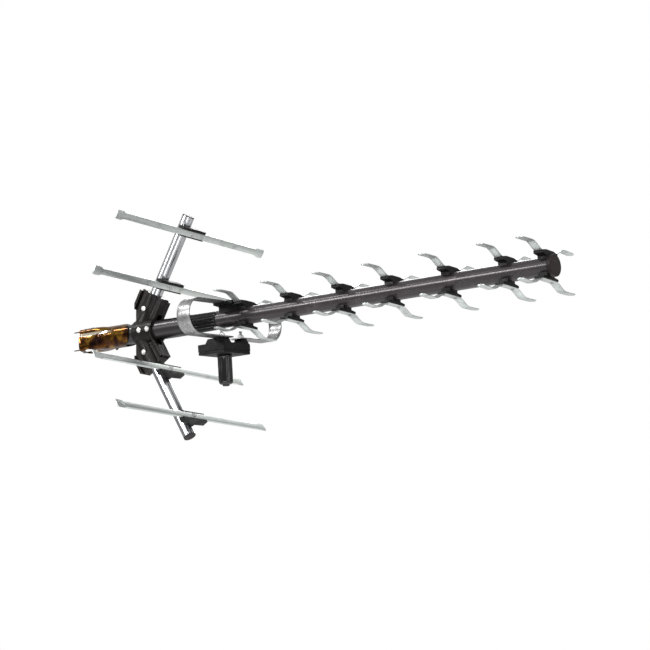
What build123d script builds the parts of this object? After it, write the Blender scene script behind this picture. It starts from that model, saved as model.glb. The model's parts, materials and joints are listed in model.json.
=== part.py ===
from build123d import *
import math
import os

# A UHF yagi antenna. X runs along the boom towards the directors, Y across it, Z up.
# The origin is on the axis of the mast that the rear clamp grips, at the height of the boom.
# All sizes are in millimetres.

# ---- driving sizes: mast clamp ----
MAST_R = 12.5
MAST_WALL = 2.58
SHELL_WALL = 2.0
SHELL_REAR_MARGIN = 2.5
SHELL_GRIP = 34.5
SHELL_PARTING = 0.6
TONGUE_LENGTH = 10.0
TONGUE_WIDTH = 8.0
TONGUE_THICKNESS = 1.0
TOOTH_COUNT = 24
TOOTH_WIDTH = 0.9
TOOTH_DEPTH = 0.8
CLAMP_BOLT_R = 2.4
CLAMP_BOLT_TAIL = 18.8
CLAMP_HEAD_R = 5.0
CLAMP_HEAD_HEIGHT = 2.6
CLAMP_HEAD_ROUND = 0.8
CLAMP_POCKET = 0.88
WING_HUB_R = 5.0
WING_HUB_HEIGHT = 6.0
WING_SPAN = 24.0
WING_HEIGHT = 12.0
WING_THICKNESS = 2.2
WING_TIP = 3.0
WING_FOOT = 1.2

# ---- driving sizes: boom ----
REAR_TUBE_R = 13.0
FRONT_TUBE_R = 11.0
TUBE_WALL = 1.0
REAR_TUBE_SETBACK = 13.5
REAR_TUBE_LENGTH = 141.0
COUPLER_STEP = 1.5
COUPLER_LENGTH = 47.5
COUPLER_SPIGOT = 25.0
COUPLER_BORE_R = 7.0
COUPLER_RIBS = 16
COUPLER_RIB_WIDTH = 1.6
COUPLER_RIB_DEPTH = 1.0
CAP_RIM = 2.0
CAP_LENGTH = 5.5
CAP_LAP = 2.0
CAP_PLUG = 16.0
CAP_CLIP_GAP = 1.0

# ---- driving sizes: reflector ----
ARM_LEAN = 30.0
ARM_R = 8.0
ARM_WALL = 1.0
ARM_BOOM_GAP = 1.2
ARM_END = 165.5
ARM_PLUG_DEPTH = 12.0
ARM_PLUG_LIP = 1.2
VERTEX_FROM_TUBE_END = 54.75
ELEMENT_END_MARGIN = 18.5
ELEMENT_PITCH = 75.0
ELEMENT_HALF_LENGTH = 147.0
ELEMENT_WIDTH = 8.4
ELEMENT_DEPTH = 3.0
ELEMENT_WALL = 0.9
ELEMENT_TIP_FLARE = 1.8
ELEMENT_TIP_LENGTH = 9.0
ELEMENT_STAND = 10.0
ELEMENT_CLIP_LENGTH = 45.0
ELEMENT_CLIP_WALL = 3.2
ELEMENT_CLIP_INNER_WALL = 1.0
ELEMENT_CLIP_LIP = 8.5
ELEMENT_RIVET_R = 2.0
ELEMENT_RIVET_HEAD_R = 3.2
ELEMENT_RIVET_BULB_R = 3.0
ELEMENT_RIVET_BULB_LENGTH = 1.5

# ---- driving sizes: bracket that joins the arms to the boom ----
BRACKET_REAR = -2.0
BRACKET_COLLAR_END = 31.0
BRACKET_ARM_GRIP = 34.0
BRACKET_BACK_EDGE = 13.0
BRACKET_FRONT_EDGE = 12.5
BRACKET_RAIL_WIDTH = 4.0
BRACKET_RAIL_RISE = 3.5
BRACKET_FLANGE = 6.0
BRACKET_WALL = 3.5
BRACKET_GAP = 0.3
BRACKET_CORNER = 2.5
WINDOW_FROM_ARM_END = 1.0
WINDOW_LENGTH = 12.0
WINDOW_HALF = 4.5
BOOM_SCREW_PLACES = (12.4, 26.0)
ARM_SCREW_INSET = 12.0
SCREW_R = 2.0
SCREW_HEAD_R = 3.8
SCREW_HEAD_HEIGHT = 2.2
SCREW_HEAD_ROUND = 0.7
SCREW_TAIL = 1.0
NUT_FLAT = 7.0
NUT_HEIGHT = 3.0

# ---- driving sizes: directors ----
DIRECTOR_FROM_CLIP = 6.3
DIRECTOR_PITCHES = (73.0, 78.0, 72.0, 80.0, 78.0, 52.0)
DIRECTOR_HALF_SPAN = 61.0
DIRECTOR_BEND_RUN = 17.0
DIRECTOR_RISE = 8.2
DIRECTOR_TIP_DROP = 0.4
DIRECTOR_WIDTH = 10.0
DIRECTOR_THICKNESS = 1.0
DIRECTOR_INNER_BEND_R = 8.0
DIRECTOR_OUTER_BEND_R = 28.0
DIRECTOR_CLIP_SIDE = 1.0
DIRECTOR_CLIP_LENGTH = 34.0
DIRECTOR_CLIP_STAND = 4.6
CLIP_LIP = 2.4
CLIP_NECK_DROP = 1.2
CLIP_BRIDGE = 1.6
CLIP_FOOT_ANGLE = 35.3
CLIP_FOOT_DEPTH = 1.0
DIRECTOR_RIVET_R = 1.2
DIRECTOR_RIVET_HEAD_R = 1.7
DIRECTOR_RIVET_HEAD_HEIGHT = 0.5
DIRECTOR_RIVET_INSET = 4.5
RIVET_HEAD_HEIGHT = 1.0

# ---- driving sizes: folded dipole and junction box ----
DIPOLE_FROM_TUBE_END = 17.0
DIPOLE_ROLL = 4.0
DIPOLE_HALF_LENGTH = 94.0
DIPOLE_STAND = 9.1
DIPOLE_HEIGHT = 46.0
DIPOLE_WIDTH = 20.0
DIPOLE_THICKNESS = 1.5
DIPOLE_FEED_GAP = 16.0
DIPOLE_CLIP_REAR = 1.5
DIPOLE_CLIP_FRONT = 8.2
DIPOLE_CLIP_LENGTH = 38.0
BOX_SETBACK = 12.5
BOX_LENGTH = 42.0
BOX_WIDTH = 53.0
BOX_HEIGHT = 13.3
BOX_WALL = 2.0
LID_HEIGHT = 4.0
GASKET_HALF = 1.0
PEDESTAL_LENGTH = 30.0
FAR_PEDESTAL_LENGTH = 15.0
PEDESTAL_WIDTH = 15.0
PEDESTAL_HEIGHT = 6.2
PEDESTAL_TAPER = 20.0
STUD_R = 2.0
STUD_ABOVE_STRIP = 9.0
STUD_HEAD_R = 3.6
STUD_HEAD_HEIGHT = 1.5
TERMINAL_NUT_FLAT = 7.0
TERMINAL_NUT_HEIGHT = 3.2
WASHER_R = 4.5
WASHER_HEIGHT = 0.8
BOARD_ABOVE_LID = 2.0
BOARD_THICKNESS = 1.6
BOARD_EDGE_GAP = 1.0
CORE_LENGTH = 6.0
CORE_WIDTH = 10.0
CORE_HEIGHT = 2.6
CORE_HOLE_R = 0.8
CORE_HOLE_Y = 2.4
CONNECTOR_R = 4.75
CONNECTOR_BORE_R = 3.6
CONNECTOR_LENGTH = 14.0
CONNECTOR_HEX = 11.0
CONNECTOR_HEX_HEIGHT = 3.0
BOOT_R = 9.4
BOOT_LENGTH = 37.0
BOOT_HEADROOM = 8.0
BOOT_CHAMFER = 2.0
BOOT_NOSE_R = 4.5
BOOT_NOSE_LENGTH = 2.0
BOOT_CABLE_R = 3.3

# ---- named clearances ----
RUNNING_GAP = 0.08
SEAT_GAP = 0.15
SLIDE_GAP = 0.3
HOLE_GAP = 0.2

# ---- sizes worked out from those above: mast clamp and boom ----
SHELL_R = REAR_TUBE_R + RUNNING_GAP
SHELL_OUTER = max(SHELL_R + SHELL_WALL, MAST_R + MAST_WALL)
REAR_TUBE_START = MAST_R + REAR_TUBE_SETBACK
REAR_TUBE_END = REAR_TUBE_START + REAR_TUBE_LENGTH
SHELL_START = -MAST_R - SHELL_REAR_MARGIN
SHELL_END = REAR_TUBE_START + SHELL_GRIP
CLAMP_BOLT_PLACE = (REAR_TUBE_START + MAST_R) / 2
CLAMP_SEAT = SHELL_OUTER - CLAMP_POCKET
CLAMP_BOLT_END = CLAMP_SEAT + CLAMP_BOLT_TAIL
FRONT_TUBE_START = REAR_TUBE_END + COUPLER_LENGTH
COUPLER_R = max(FRONT_TUBE_R + COUPLER_STEP, REAR_TUBE_R - TUBE_WALL / 2)
CAP_R = FRONT_TUBE_R + CAP_RIM

# ---- worked out: dipole, box and directors ----
DIPOLE_X = FRONT_TUBE_START + DIPOLE_FROM_TUBE_END
DIPOLE_TOP = FRONT_TUBE_R + DIPOLE_STAND
DIPOLE_BOTTOM = DIPOLE_TOP - DIPOLE_HEIGHT
DIPOLE_CLIP_START = DIPOLE_X - DIPOLE_WIDTH / 2 - DIPOLE_CLIP_REAR
DIPOLE_CLIP_END = DIPOLE_X + DIPOLE_WIDTH / 2 + DIPOLE_CLIP_FRONT
BOX_X = DIPOLE_X - BOX_SETBACK
BOX_TOP = DIPOLE_BOTTOM - PEDESTAL_HEIGHT
BOX_BOTTOM = BOX_TOP - BOX_HEIGHT
LID_TOP = BOX_BOTTOM + LID_HEIGHT
BOARD_LEVEL = LID_TOP + BOARD_ABOVE_LID
TERMINAL_Y = (BOX_WIDTH - PEDESTAL_WIDTH) / 2
STUD_TOP = DIPOLE_BOTTOM + DIPOLE_THICKNESS + STUD_ABOVE_STRIP
DIRECTOR_FIRST = DIPOLE_CLIP_END + DIRECTOR_FROM_CLIP
STATIONS = [DIRECTOR_FIRST + sum(DIRECTOR_PITCHES[:place]) for place in range(len(DIRECTOR_PITCHES) + 1)]
DIRECTOR_LEVEL = FRONT_TUBE_R + DIRECTOR_CLIP_STAND
DIRECTOR_CLIP_WIDTH = DIRECTOR_WIDTH + DIRECTOR_CLIP_SIDE * 2
DIRECTOR_RIVET_PLACE = DIRECTOR_CLIP_LENGTH / 2 - DIRECTOR_RIVET_INSET
FRONT_TUBE_END = STATIONS[-1] + DIRECTOR_CLIP_WIDTH / 2 + CAP_CLIP_GAP + CAP_LAP

# ---- worked out: reflector and bracket ----
VERTEX_X = REAR_TUBE_START + VERTEX_FROM_TUBE_END
LEAN = math.radians(ARM_LEAN)
ARM_START = (REAR_TUBE_R + ARM_BOOM_GAP + ARM_R * math.sin(LEAN)) / math.cos(LEAN)
ELEMENT_OFFSET = ARM_R + ELEMENT_STAND
ELEMENT_FACE = ELEMENT_OFFSET + ELEMENT_DEPTH / 2
ELEMENT_SEAT = ELEMENT_OFFSET - ELEMENT_DEPTH / 2
ELEMENT_PLACES = (ARM_END - ELEMENT_END_MARGIN, ARM_END - ELEMENT_END_MARGIN - ELEMENT_PITCH)
BRACKET_ARM_END = ARM_START + BRACKET_ARM_GRIP
BRACKET_BACK = -ARM_R - BRACKET_BACK_EDGE
BRACKET_FRONT = ARM_R + BRACKET_FRONT_EDGE
ARM_SCREW_PLACE = ARM_START + ARM_SCREW_INSET
WINDOW_START = ARM_START + WINDOW_FROM_ARM_END
ARM_FRAME = Pos(VERTEX_X, 0, 0) * Rot(0, ARM_LEAN, 0)
LOW = (Align.CENTER, Align.CENTER, Align.MIN)

nodes = {}


# ---- building helpers ----
def x_rod(radius, start, end):
    """A rod along the boom's axis."""
    return Pos(start, 0, 0) * Rot(0, 90, 0) * Cylinder(radius, end - start, align=LOW)


def y_rod(radius, x, z, start, end):
    """A rod across the boom."""
    return Pos(x, start, z) * Rot(-90, 0, 0) * Cylinder(radius, end - start, align=LOW)


def z_rod(radius, x, y, start, end):
    """An upright rod."""
    return Pos(x, y, start) * Cylinder(radius, end - start, align=LOW)


def block(x0, x1, y0, y1, z0, z1):
    """A box between two corners."""
    return Pos((x0 + x1) / 2, (y0 + y1) / 2, (z0 + z1) / 2) * Box(x1 - x0, y1 - y0, z1 - z0)


def tube(outer, wall, start, end):
    """A round tube along the boom's axis."""
    return x_rod(outer, start, end) - x_rod(outer - wall, start, end)


def hexagon(flat, x, y, start, height):
    """An upright hexagonal nut, without its hole."""
    sketch = RegularPolygon(flat / 2, 6, major_radius=False)
    return Pos(x, y, start) * extrude(sketch, height)


def bent_strip(points, bends, thickness, width):
    """A flat strip along points in the YZ plane, with a bend radius for each corner."""
    path = FilletPolyline(*[(y, z) for y, z in points], radius=bends)
    section = trace(path, thickness)
    return extrude(Plane.YZ * section, width / 2, both=True)


def rolled(shape):
    """Turn a piece of the dipole group about the boom by the group's roll."""
    return Rot(DIPOLE_ROLL, 0, 0) * shape


def below(shape):
    """The same piece mirrored to the underside of the boom."""
    return mirror(shape, about=Plane.XY)


def group(shapes):
    """Separate solids kept together in one node."""
    return Compound(children=[solid for shape in shapes for solid in shape.solids()])


# ---- boom ----
def boom_coupler():
    """The ribbed plastic joiner: a spigot in each tube and a collar between them."""
    collar = x_rod(COUPLER_R, REAR_TUBE_END, FRONT_TUBE_START)
    for rib in range(COUPLER_RIBS):
        groove = block(REAR_TUBE_END + COUPLER_RIB_WIDTH, FRONT_TUBE_START - COUPLER_RIB_WIDTH,
                       -COUPLER_RIB_WIDTH / 2, COUPLER_RIB_WIDTH / 2,
                       COUPLER_R - COUPLER_RIB_DEPTH, COUPLER_R + COUPLER_RIB_DEPTH)
        collar -= Rot(360 * rib / COUPLER_RIBS, 0, 0) * groove
    rear = x_rod(REAR_TUBE_R - TUBE_WALL - SEAT_GAP, REAR_TUBE_END - COUPLER_SPIGOT, REAR_TUBE_END)
    front = x_rod(FRONT_TUBE_R - TUBE_WALL - SEAT_GAP, FRONT_TUBE_START, FRONT_TUBE_START + COUPLER_SPIGOT)
    bore = x_rod(COUPLER_BORE_R, REAR_TUBE_END - COUPLER_SPIGOT, FRONT_TUBE_START + COUPLER_SPIGOT)
    return collar + rear + front - bore


def front_cap():
    """The plastic cap: a plug inside the tube and a rim that laps over its end."""
    rim = x_rod(CAP_R, FRONT_TUBE_END - CAP_LAP, FRONT_TUBE_END + CAP_LENGTH - CAP_LAP)
    rim -= x_rod(FRONT_TUBE_R + SEAT_GAP, FRONT_TUBE_END - CAP_LAP, FRONT_TUBE_END)
    plug = x_rod(FRONT_TUBE_R - TUBE_WALL - SEAT_GAP, FRONT_TUBE_END - CAP_PLUG, FRONT_TUBE_END)
    return rim + plug


# ---- bracket ----
def arm_point(along, forward):
    """A point in the XZ plane, measured along an upper arm and forward of it."""
    x = VERTEX_X + along * math.sin(LEAN) + forward * math.cos(LEAN)
    return x, along * math.cos(LEAN) - forward * math.sin(LEAN)


def bracket_outline():
    """The V-shaped outline of the bracket's flanges, upper half."""
    rear = VERTEX_X + BRACKET_REAR
    back_along = (rear - VERTEX_X - BRACKET_BACK * math.cos(LEAN)) / math.sin(LEAN)
    front_x = VERTEX_X + BRACKET_FRONT / math.cos(LEAN)
    corners = [(rear, 0), arm_point(back_along, BRACKET_BACK),
               arm_point(BRACKET_ARM_END, BRACKET_BACK + BRACKET_CORNER),
               arm_point(BRACKET_ARM_END, BRACKET_FRONT - BRACKET_CORNER),
               arm_point(BRACKET_ARM_END - BRACKET_CORNER, BRACKET_FRONT), (front_x, 0)]
    return make_face(Polyline(*corners, close=True))


def bracket_rails():
    """A raised rail along each long edge of the upper flange."""
    high = BRACKET_FLANGE + BRACKET_RAIL_RISE
    rails = []
    for rear, front in ((BRACKET_BACK, BRACKET_BACK + BRACKET_RAIL_WIDTH),
                        (BRACKET_FRONT - BRACKET_RAIL_WIDTH, BRACKET_FRONT)):
        rails.append(ARM_FRAME * block(rear, front, -high, high, 0, BRACKET_ARM_END - BRACKET_CORNER))
    edge = block(VERTEX_X + BRACKET_REAR, VERTEX_X * 3, -high, high, 0, BRACKET_ARM_END * 2)
    return [rail & edge for rail in rails]


def bracket_half():
    """The half of the bracket on the +Y side, moulded over the boom and the arms."""
    outline = extrude(Rot(90, 0, 0) * bracket_outline(), BRACKET_FLANGE, both=True)
    ridge = ARM_FRAME * z_rod(ARM_R + BRACKET_WALL, 0, 0, 0, BRACKET_ARM_END)
    upper = outline + ridge + bracket_rails()
    body = upper + below(upper)
    collar_start = VERTEX_X + BRACKET_REAR
    collar_end = VERTEX_X + BRACKET_COLLAR_END
    body += x_rod(REAR_TUBE_R + BRACKET_WALL, collar_start, collar_end)
    body -= block(0, collar_start, -REAR_TUBE_R * 2, REAR_TUBE_R * 2, -BRACKET_ARM_END, BRACKET_ARM_END)
    body -= x_rod(REAR_TUBE_R + SEAT_GAP, collar_start, collar_end)
    bore = ARM_FRAME * z_rod(ARM_R + SEAT_GAP, 0, 0, ARM_START - SEAT_GAP, BRACKET_ARM_END * 2)
    window = ARM_FRAME * block(ARM_R / 2, BRACKET_FRONT * 2, -WINDOW_HALF, WINDOW_HALF,
                               WINDOW_START, WINDOW_START + WINDOW_LENGTH)
    body -= bore + window
    body -= below(bore + window)
    body -= block(0, VERTEX_X * 3, -REAR_TUBE_R * 2, BRACKET_GAP, -BRACKET_ARM_END * 2, BRACKET_ARM_END * 2)
    for x, z, _ in bracket_screw_places():
        body -= y_rod(SCREW_R + HOLE_GAP, x, z, 0, REAR_TUBE_R * 2)
    return body


def bracket_screw_places():
    """Each screw's X and Z, and how far out its head and nut sit."""
    arm_x, arm_z = arm_point(ARM_SCREW_PLACE, 0)
    boom_seat = REAR_TUBE_R + BRACKET_WALL
    arm_seat = ARM_R + BRACKET_WALL
    places = [(VERTEX_X + place, 0, boom_seat) for place in BOOM_SCREW_PLACES]
    return places + [(arm_x, arm_z, arm_seat), (arm_x, -arm_z, arm_seat)]


def bracket_screw(x, z, seat):
    """A pan-head screw right through the bracket, its head on the -Y side."""
    head = y_rod(SCREW_HEAD_R, x, z, -seat - SCREW_HEAD_HEIGHT, -seat)
    head = fillet(head.edges().group_by(Axis.Y)[0], SCREW_HEAD_HEIGHT * SCREW_HEAD_ROUND)
    return head + y_rod(SCREW_R, x, z, -seat, seat + NUT_HEIGHT + SCREW_TAIL)


def bracket_nut(x, z, seat):
    """A hexagonal nut on the far end of a bracket screw."""
    nut = Pos(x, seat, z) * Rot(-90, 0, 0) * extrude(RegularPolygon(NUT_FLAT / 2, 6, major_radius=False),
                                                     NUT_HEIGHT)
    return nut - y_rod(SCREW_R + SEAT_GAP, x, z, seat, seat + NUT_HEIGHT)


# ---- reflector ----
def reflector_arm():
    """The upper arm: a round tube drilled for the bracket's screw and the elements' rivets."""
    arm = ARM_FRAME * (z_rod(ARM_R, 0, 0, ARM_START, ARM_END)
                       - z_rod(ARM_R - ARM_WALL, 0, 0, ARM_START, ARM_END))
    for place in ELEMENT_PLACES:
        arm -= ARM_FRAME * Pos(0, 0, place) * x_rod(ELEMENT_RIVET_R + SEAT_GAP, 0, ARM_R)
    x, z = arm_point(ARM_SCREW_PLACE, 0)
    return arm - y_rod(SCREW_R + HOLE_GAP, x, z, -ARM_R, ARM_R)


def arm_plug():
    """The dark plug in an arm's open end."""
    plug = z_rod(ARM_R - ARM_WALL - SEAT_GAP, 0, 0, ARM_END - ARM_PLUG_DEPTH, ARM_END)
    lip = z_rod(ARM_R, 0, 0, ARM_END, ARM_END + ARM_PLUG_LIP)
    return ARM_FRAME * (plug + lip)


def reflector_element(place):
    """A rolled channel across an arm, with flat ends flared to the strip's full width."""
    face = ELEMENT_FACE
    half = ELEMENT_WIDTH / 2
    middle = ELEMENT_HALF_LENGTH - ELEMENT_TIP_LENGTH
    channel = block(face - ELEMENT_DEPTH, face, -middle, middle, place - half, place + half)
    channel -= block(face - ELEMENT_DEPTH, face - ELEMENT_WALL, -middle, middle,
                     place - half + ELEMENT_WALL, place + half - ELEMENT_WALL)
    tip_half = half + ELEMENT_TIP_FLARE
    for side in (-1, 1):
        near, far = sorted((side * middle, side * ELEMENT_HALF_LENGTH))
        channel += block(face - ELEMENT_WALL, face, near, far, place - tip_half, place + tip_half)
    channel -= Pos(0, 0, place) * x_rod(ELEMENT_RIVET_R + SEAT_GAP, 0, face)
    return ARM_FRAME * channel


def reflector_clip(place):
    """A black saddle on the front of an arm, with a wall along each edge of its element."""
    inner = ELEMENT_WIDTH / 2 + SEAT_GAP
    low = -inner - ELEMENT_CLIP_INNER_WALL
    high = inner + ELEMENT_CLIP_WALL
    half_length = ELEMENT_CLIP_LENGTH / 2
    body = saddle(ARM_R, -high, -low, half_length, ELEMENT_FACE, ELEMENT_CLIP_LIP)
    body -= block(-inner, inner, -half_length, half_length, ELEMENT_SEAT, ELEMENT_FACE)
    body -= z_rod(ELEMENT_RIVET_R + SEAT_GAP, 0, 0, 0, ELEMENT_FACE)
    return ARM_FRAME * Pos(0, 0, place) * Rot(0, 90, 0) * body


def reflector_rivet(place):
    """The blind rivet through an element, its clip and the arm's wall."""
    inside = math.sqrt((ARM_R - ARM_WALL) ** 2 - ELEMENT_RIVET_BULB_R ** 2) - SEAT_GAP
    shank = x_rod(ELEMENT_RIVET_R, inside, ELEMENT_FACE)
    bulb = x_rod(ELEMENT_RIVET_BULB_R, inside - ELEMENT_RIVET_BULB_LENGTH, inside)
    head = x_rod(ELEMENT_RIVET_HEAD_R, ELEMENT_FACE, ELEMENT_FACE + RIVET_HEAD_HEIGHT)
    return ARM_FRAME * (Pos(0, 0, place) * (shank + bulb + head))


# ---- directors ----
def director_points():
    """Half of a director's centre line in the YZ plane, from the middle out."""
    level = DIRECTOR_LEVEL + DIRECTOR_THICKNESS / 2
    flat_half = DIRECTOR_CLIP_LENGTH / 2
    return [(flat_half, level),
            (flat_half + DIRECTOR_BEND_RUN, level + DIRECTOR_RISE),
            (DIRECTOR_HALF_SPAN, level + DIRECTOR_RISE - DIRECTOR_TIP_DROP)]


def director(station):
    """The upper strip of one director: flat in its clip, with a raised wing on each side."""
    half = director_points()
    points = [(-y, z) for y, z in reversed(half)] + half
    bends = [DIRECTOR_OUTER_BEND_R, DIRECTOR_INNER_BEND_R, DIRECTOR_INNER_BEND_R, DIRECTOR_OUTER_BEND_R]
    strip = Pos(station, 0, 0) * bent_strip(points, bends, DIRECTOR_THICKNESS, DIRECTOR_WIDTH)
    for side in (-1, 1):
        strip -= z_rod(DIRECTOR_RIVET_R + SEAT_GAP, station, side * DIRECTOR_RIVET_PLACE,
                       FRONT_TUBE_R, DIRECTOR_LEVEL * 2)
    return strip


def saddle(tube_r, start, end, half_length, level, lip):
    """The lower part of a clip on top of a tube: a narrow neck under an overhanging flat pad."""
    foot_r = tube_r - CLIP_FOOT_DEPTH
    foot_y = foot_r * math.cos(math.radians(CLIP_FOOT_ANGLE))
    foot_z = foot_r * math.sin(math.radians(CLIP_FOOT_ANGLE))
    neck_z = level - lip - CLIP_NECK_DROP
    side_view = Polyline((-foot_y, foot_z), (-foot_y, neck_z), (-half_length, level - lip),
                         (-half_length, level), (half_length, level), (half_length, level - lip),
                         (foot_y, neck_z), (foot_y, foot_z), close=True)
    body = Pos(start, 0, 0) * extrude(Plane.YZ * make_face(side_view), end - start)
    return body - x_rod(tube_r + SEAT_GAP, start, end)


def bridged_saddle(start, end, half_length, strip_x, strip_width, level, thickness):
    """A saddle with a low bridge over the strip, which lies in the slot between them."""
    top = level + thickness
    bridge_view = Polyline((-half_length, level), (-half_length, top), (-half_length / 2, top + CLIP_BRIDGE),
                           (half_length / 2, top + CLIP_BRIDGE), (half_length, top), (half_length, level),
                           close=True)
    body = saddle(FRONT_TUBE_R, start, end, half_length, level, CLIP_LIP)
    body += Pos(start, 0, 0) * extrude(Plane.YZ * make_face(bridge_view), end - start)
    slot = strip_width / 2 + SEAT_GAP
    return body - block(strip_x - slot, strip_x + slot, -half_length, half_length,
                        level - SEAT_GAP, top + SEAT_GAP)


def director_clip(station, bridged):
    """The clip of one director strip, bridged or open on its outer side, drilled for two rivets."""
    start = station - DIRECTOR_CLIP_WIDTH / 2
    end = station + DIRECTOR_CLIP_WIDTH / 2
    half_length = DIRECTOR_CLIP_LENGTH / 2
    body = saddle(FRONT_TUBE_R, start, end, half_length, DIRECTOR_LEVEL, CLIP_LIP)
    if bridged:
        body = bridged_saddle(start, end, half_length, station, DIRECTOR_WIDTH,
                              DIRECTOR_LEVEL, DIRECTOR_THICKNESS)
    for side in (-1, 1):
        body -= z_rod(DIRECTOR_RIVET_R + SEAT_GAP, station, side * DIRECTOR_RIVET_PLACE,
                      0, DIRECTOR_LEVEL * 2)
    return body


def director_rivet(station, side, bridged):
    """A rivet through a clip and its strip."""
    cap = DIRECTOR_LEVEL + DIRECTOR_THICKNESS + (CLIP_BRIDGE if bridged else 0)
    y = side * DIRECTOR_RIVET_PLACE
    shank = z_rod(DIRECTOR_RIVET_R, station, y, DIRECTOR_LEVEL - CLIP_LIP, cap)
    return shank + z_rod(DIRECTOR_RIVET_HEAD_R, station, y, cap, cap + DIRECTOR_RIVET_HEAD_HEIGHT)


# ---- folded dipole ----
def dipole_loop():
    """A flat strip bent into a long loop, open in the middle of its lower run."""
    bend = (DIPOLE_TOP - DIPOLE_BOTTOM) / 2
    outer = Pos(0, (DIPOLE_TOP + DIPOLE_BOTTOM) / 2) * SlotOverall(DIPOLE_HALF_LENGTH * 2, bend * 2)
    inner = offset(outer, -DIPOLE_THICKNESS)
    loop = extrude(Plane.YZ * (outer - inner), DIPOLE_WIDTH / 2, both=True)
    half_gap = DIPOLE_FEED_GAP / 2
    loop -= block(-DIPOLE_WIDTH, DIPOLE_WIDTH, -half_gap, half_gap, DIPOLE_BOTTOM, DIPOLE_BOTTOM / 2)
    for side in (-1, 1):
        loop -= z_rod(STUD_R + HOLE_GAP, 0, side * TERMINAL_Y, DIPOLE_BOTTOM, DIPOLE_BOTTOM / 2)
    loop -= z_rod(ELEMENT_RIVET_R + SEAT_GAP, 0, 0, 0, DIPOLE_TOP)
    return rolled(Pos(DIPOLE_X, 0, 0) * loop)


def dipole_clip():
    """The long clip on the boom that carries the upper run of the loop."""
    seat = DIPOLE_TOP - DIPOLE_THICKNESS
    body = bridged_saddle(DIPOLE_CLIP_START, DIPOLE_CLIP_END, DIPOLE_CLIP_LENGTH / 2,
                          DIPOLE_X, DIPOLE_WIDTH, seat, DIPOLE_THICKNESS)
    return rolled(body - z_rod(ELEMENT_RIVET_R + SEAT_GAP, DIPOLE_X, 0, 0, DIPOLE_TOP * 2))


def dipole_rivet():
    """The rivet that holds the loop's upper run in its clip."""
    cap = DIPOLE_TOP + CLIP_BRIDGE
    shank = z_rod(ELEMENT_RIVET_R, DIPOLE_X, 0, DIPOLE_TOP - DIRECTOR_CLIP_STAND, cap)
    return rolled(shank + z_rod(ELEMENT_RIVET_HEAD_R, DIPOLE_X, 0, cap, cap + RIVET_HEAD_HEIGHT))


# ---- junction box ----
def box_base():
    """The box's upper shell, open below, with a long pedestal at one stud and a short one at the other."""
    x0 = BOX_X - BOX_LENGTH / 2
    x1 = BOX_X + BOX_LENGTH / 2
    y1 = BOX_WIDTH / 2
    body = block(x0, x1, -y1, y1, LID_TOP, BOX_TOP)
    body -= block(x0 + BOX_WALL, x1 - BOX_WALL, -y1 + BOX_WALL, y1 - BOX_WALL, LID_TOP, BOX_TOP - BOX_WALL)
    pedestals = ((-1, PEDESTAL_LENGTH, x1 - PEDESTAL_LENGTH / 2), (1, FAR_PEDESTAL_LENGTH, DIPOLE_X))
    for side, length, x in pedestals:
        pedestal = extrude(Rectangle(length, PEDESTAL_WIDTH), PEDESTAL_HEIGHT, taper=PEDESTAL_TAPER)
        body += Pos(x, side * TERMINAL_Y, BOX_TOP) * pedestal
        body -= z_rod(STUD_R + HOLE_GAP, DIPOLE_X, side * TERMINAL_Y, LID_TOP, DIPOLE_BOTTOM)
    return rolled(body)


def box_lid():
    """The snap-on lower cover, with a hole for the connector."""
    x0 = BOX_X - BOX_LENGTH / 2
    x1 = BOX_X + BOX_LENGTH / 2
    y1 = BOX_WIDTH / 2
    lid = block(x0, x1, -y1, y1, BOX_BOTTOM, LID_TOP - SEAT_GAP)
    lid -= block(x0 + BOX_WALL, x1 - BOX_WALL, -y1 + BOX_WALL, y1 - BOX_WALL,
                 BOX_BOTTOM + BOX_WALL, LID_TOP)
    lid -= z_rod(CONNECTOR_R + HOLE_GAP, BOX_X, 0, BOX_BOTTOM, LID_TOP)
    return rolled(lid)


def box_gasket():
    """The seal just inside the joint between base and lid."""
    x0 = BOX_X - BOX_LENGTH / 2 + BOX_WALL + SEAT_GAP
    x1 = BOX_X + BOX_LENGTH / 2 - BOX_WALL - SEAT_GAP
    y1 = BOX_WIDTH / 2 - BOX_WALL - SEAT_GAP
    low = LID_TOP - GASKET_HALF
    high = LID_TOP + GASKET_HALF
    thick = GASKET_HALF
    ring = block(x0, x1, -y1, y1, low, high)
    ring -= block(x0 + thick, x1 - thick, -y1 + thick, y1 - thick, low, high)
    return rolled(ring)


def balun_board():
    """The matching board that joins the two studs to the connector."""
    half_x = BOX_LENGTH / 2 - BOX_WALL - BOARD_EDGE_GAP
    half_y = BOX_WIDTH / 2 - BOX_WALL - BOARD_EDGE_GAP
    top = BOARD_LEVEL + BOARD_THICKNESS
    board = block(BOX_X - half_x, BOX_X + half_x, -half_y, half_y, BOARD_LEVEL, top)
    for side in (-1, 1):
        board -= z_rod(STUD_R + HOLE_GAP, DIPOLE_X, side * TERMINAL_Y, BOARD_LEVEL, top)
    board -= z_rod(CONNECTOR_BORE_R, BOX_X, 0, BOARD_LEVEL, top)
    return rolled(board)


def balun_core():
    """The small two-hole ferrite that the balun's wire goes through."""
    level = BOARD_LEVEL + BOARD_THICKNESS
    x0 = BOX_X - BOX_LENGTH / 4 - CORE_LENGTH / 2
    x1 = x0 + CORE_LENGTH
    core = block(x0, x1, -CORE_WIDTH / 2, CORE_WIDTH / 2, level, level + CORE_HEIGHT)
    for side in (-1, 1):
        core -= Pos(0, side * CORE_HOLE_Y, level + CORE_HEIGHT / 2) * x_rod(CORE_HOLE_R, x0, x1)
    return rolled(core)


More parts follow.
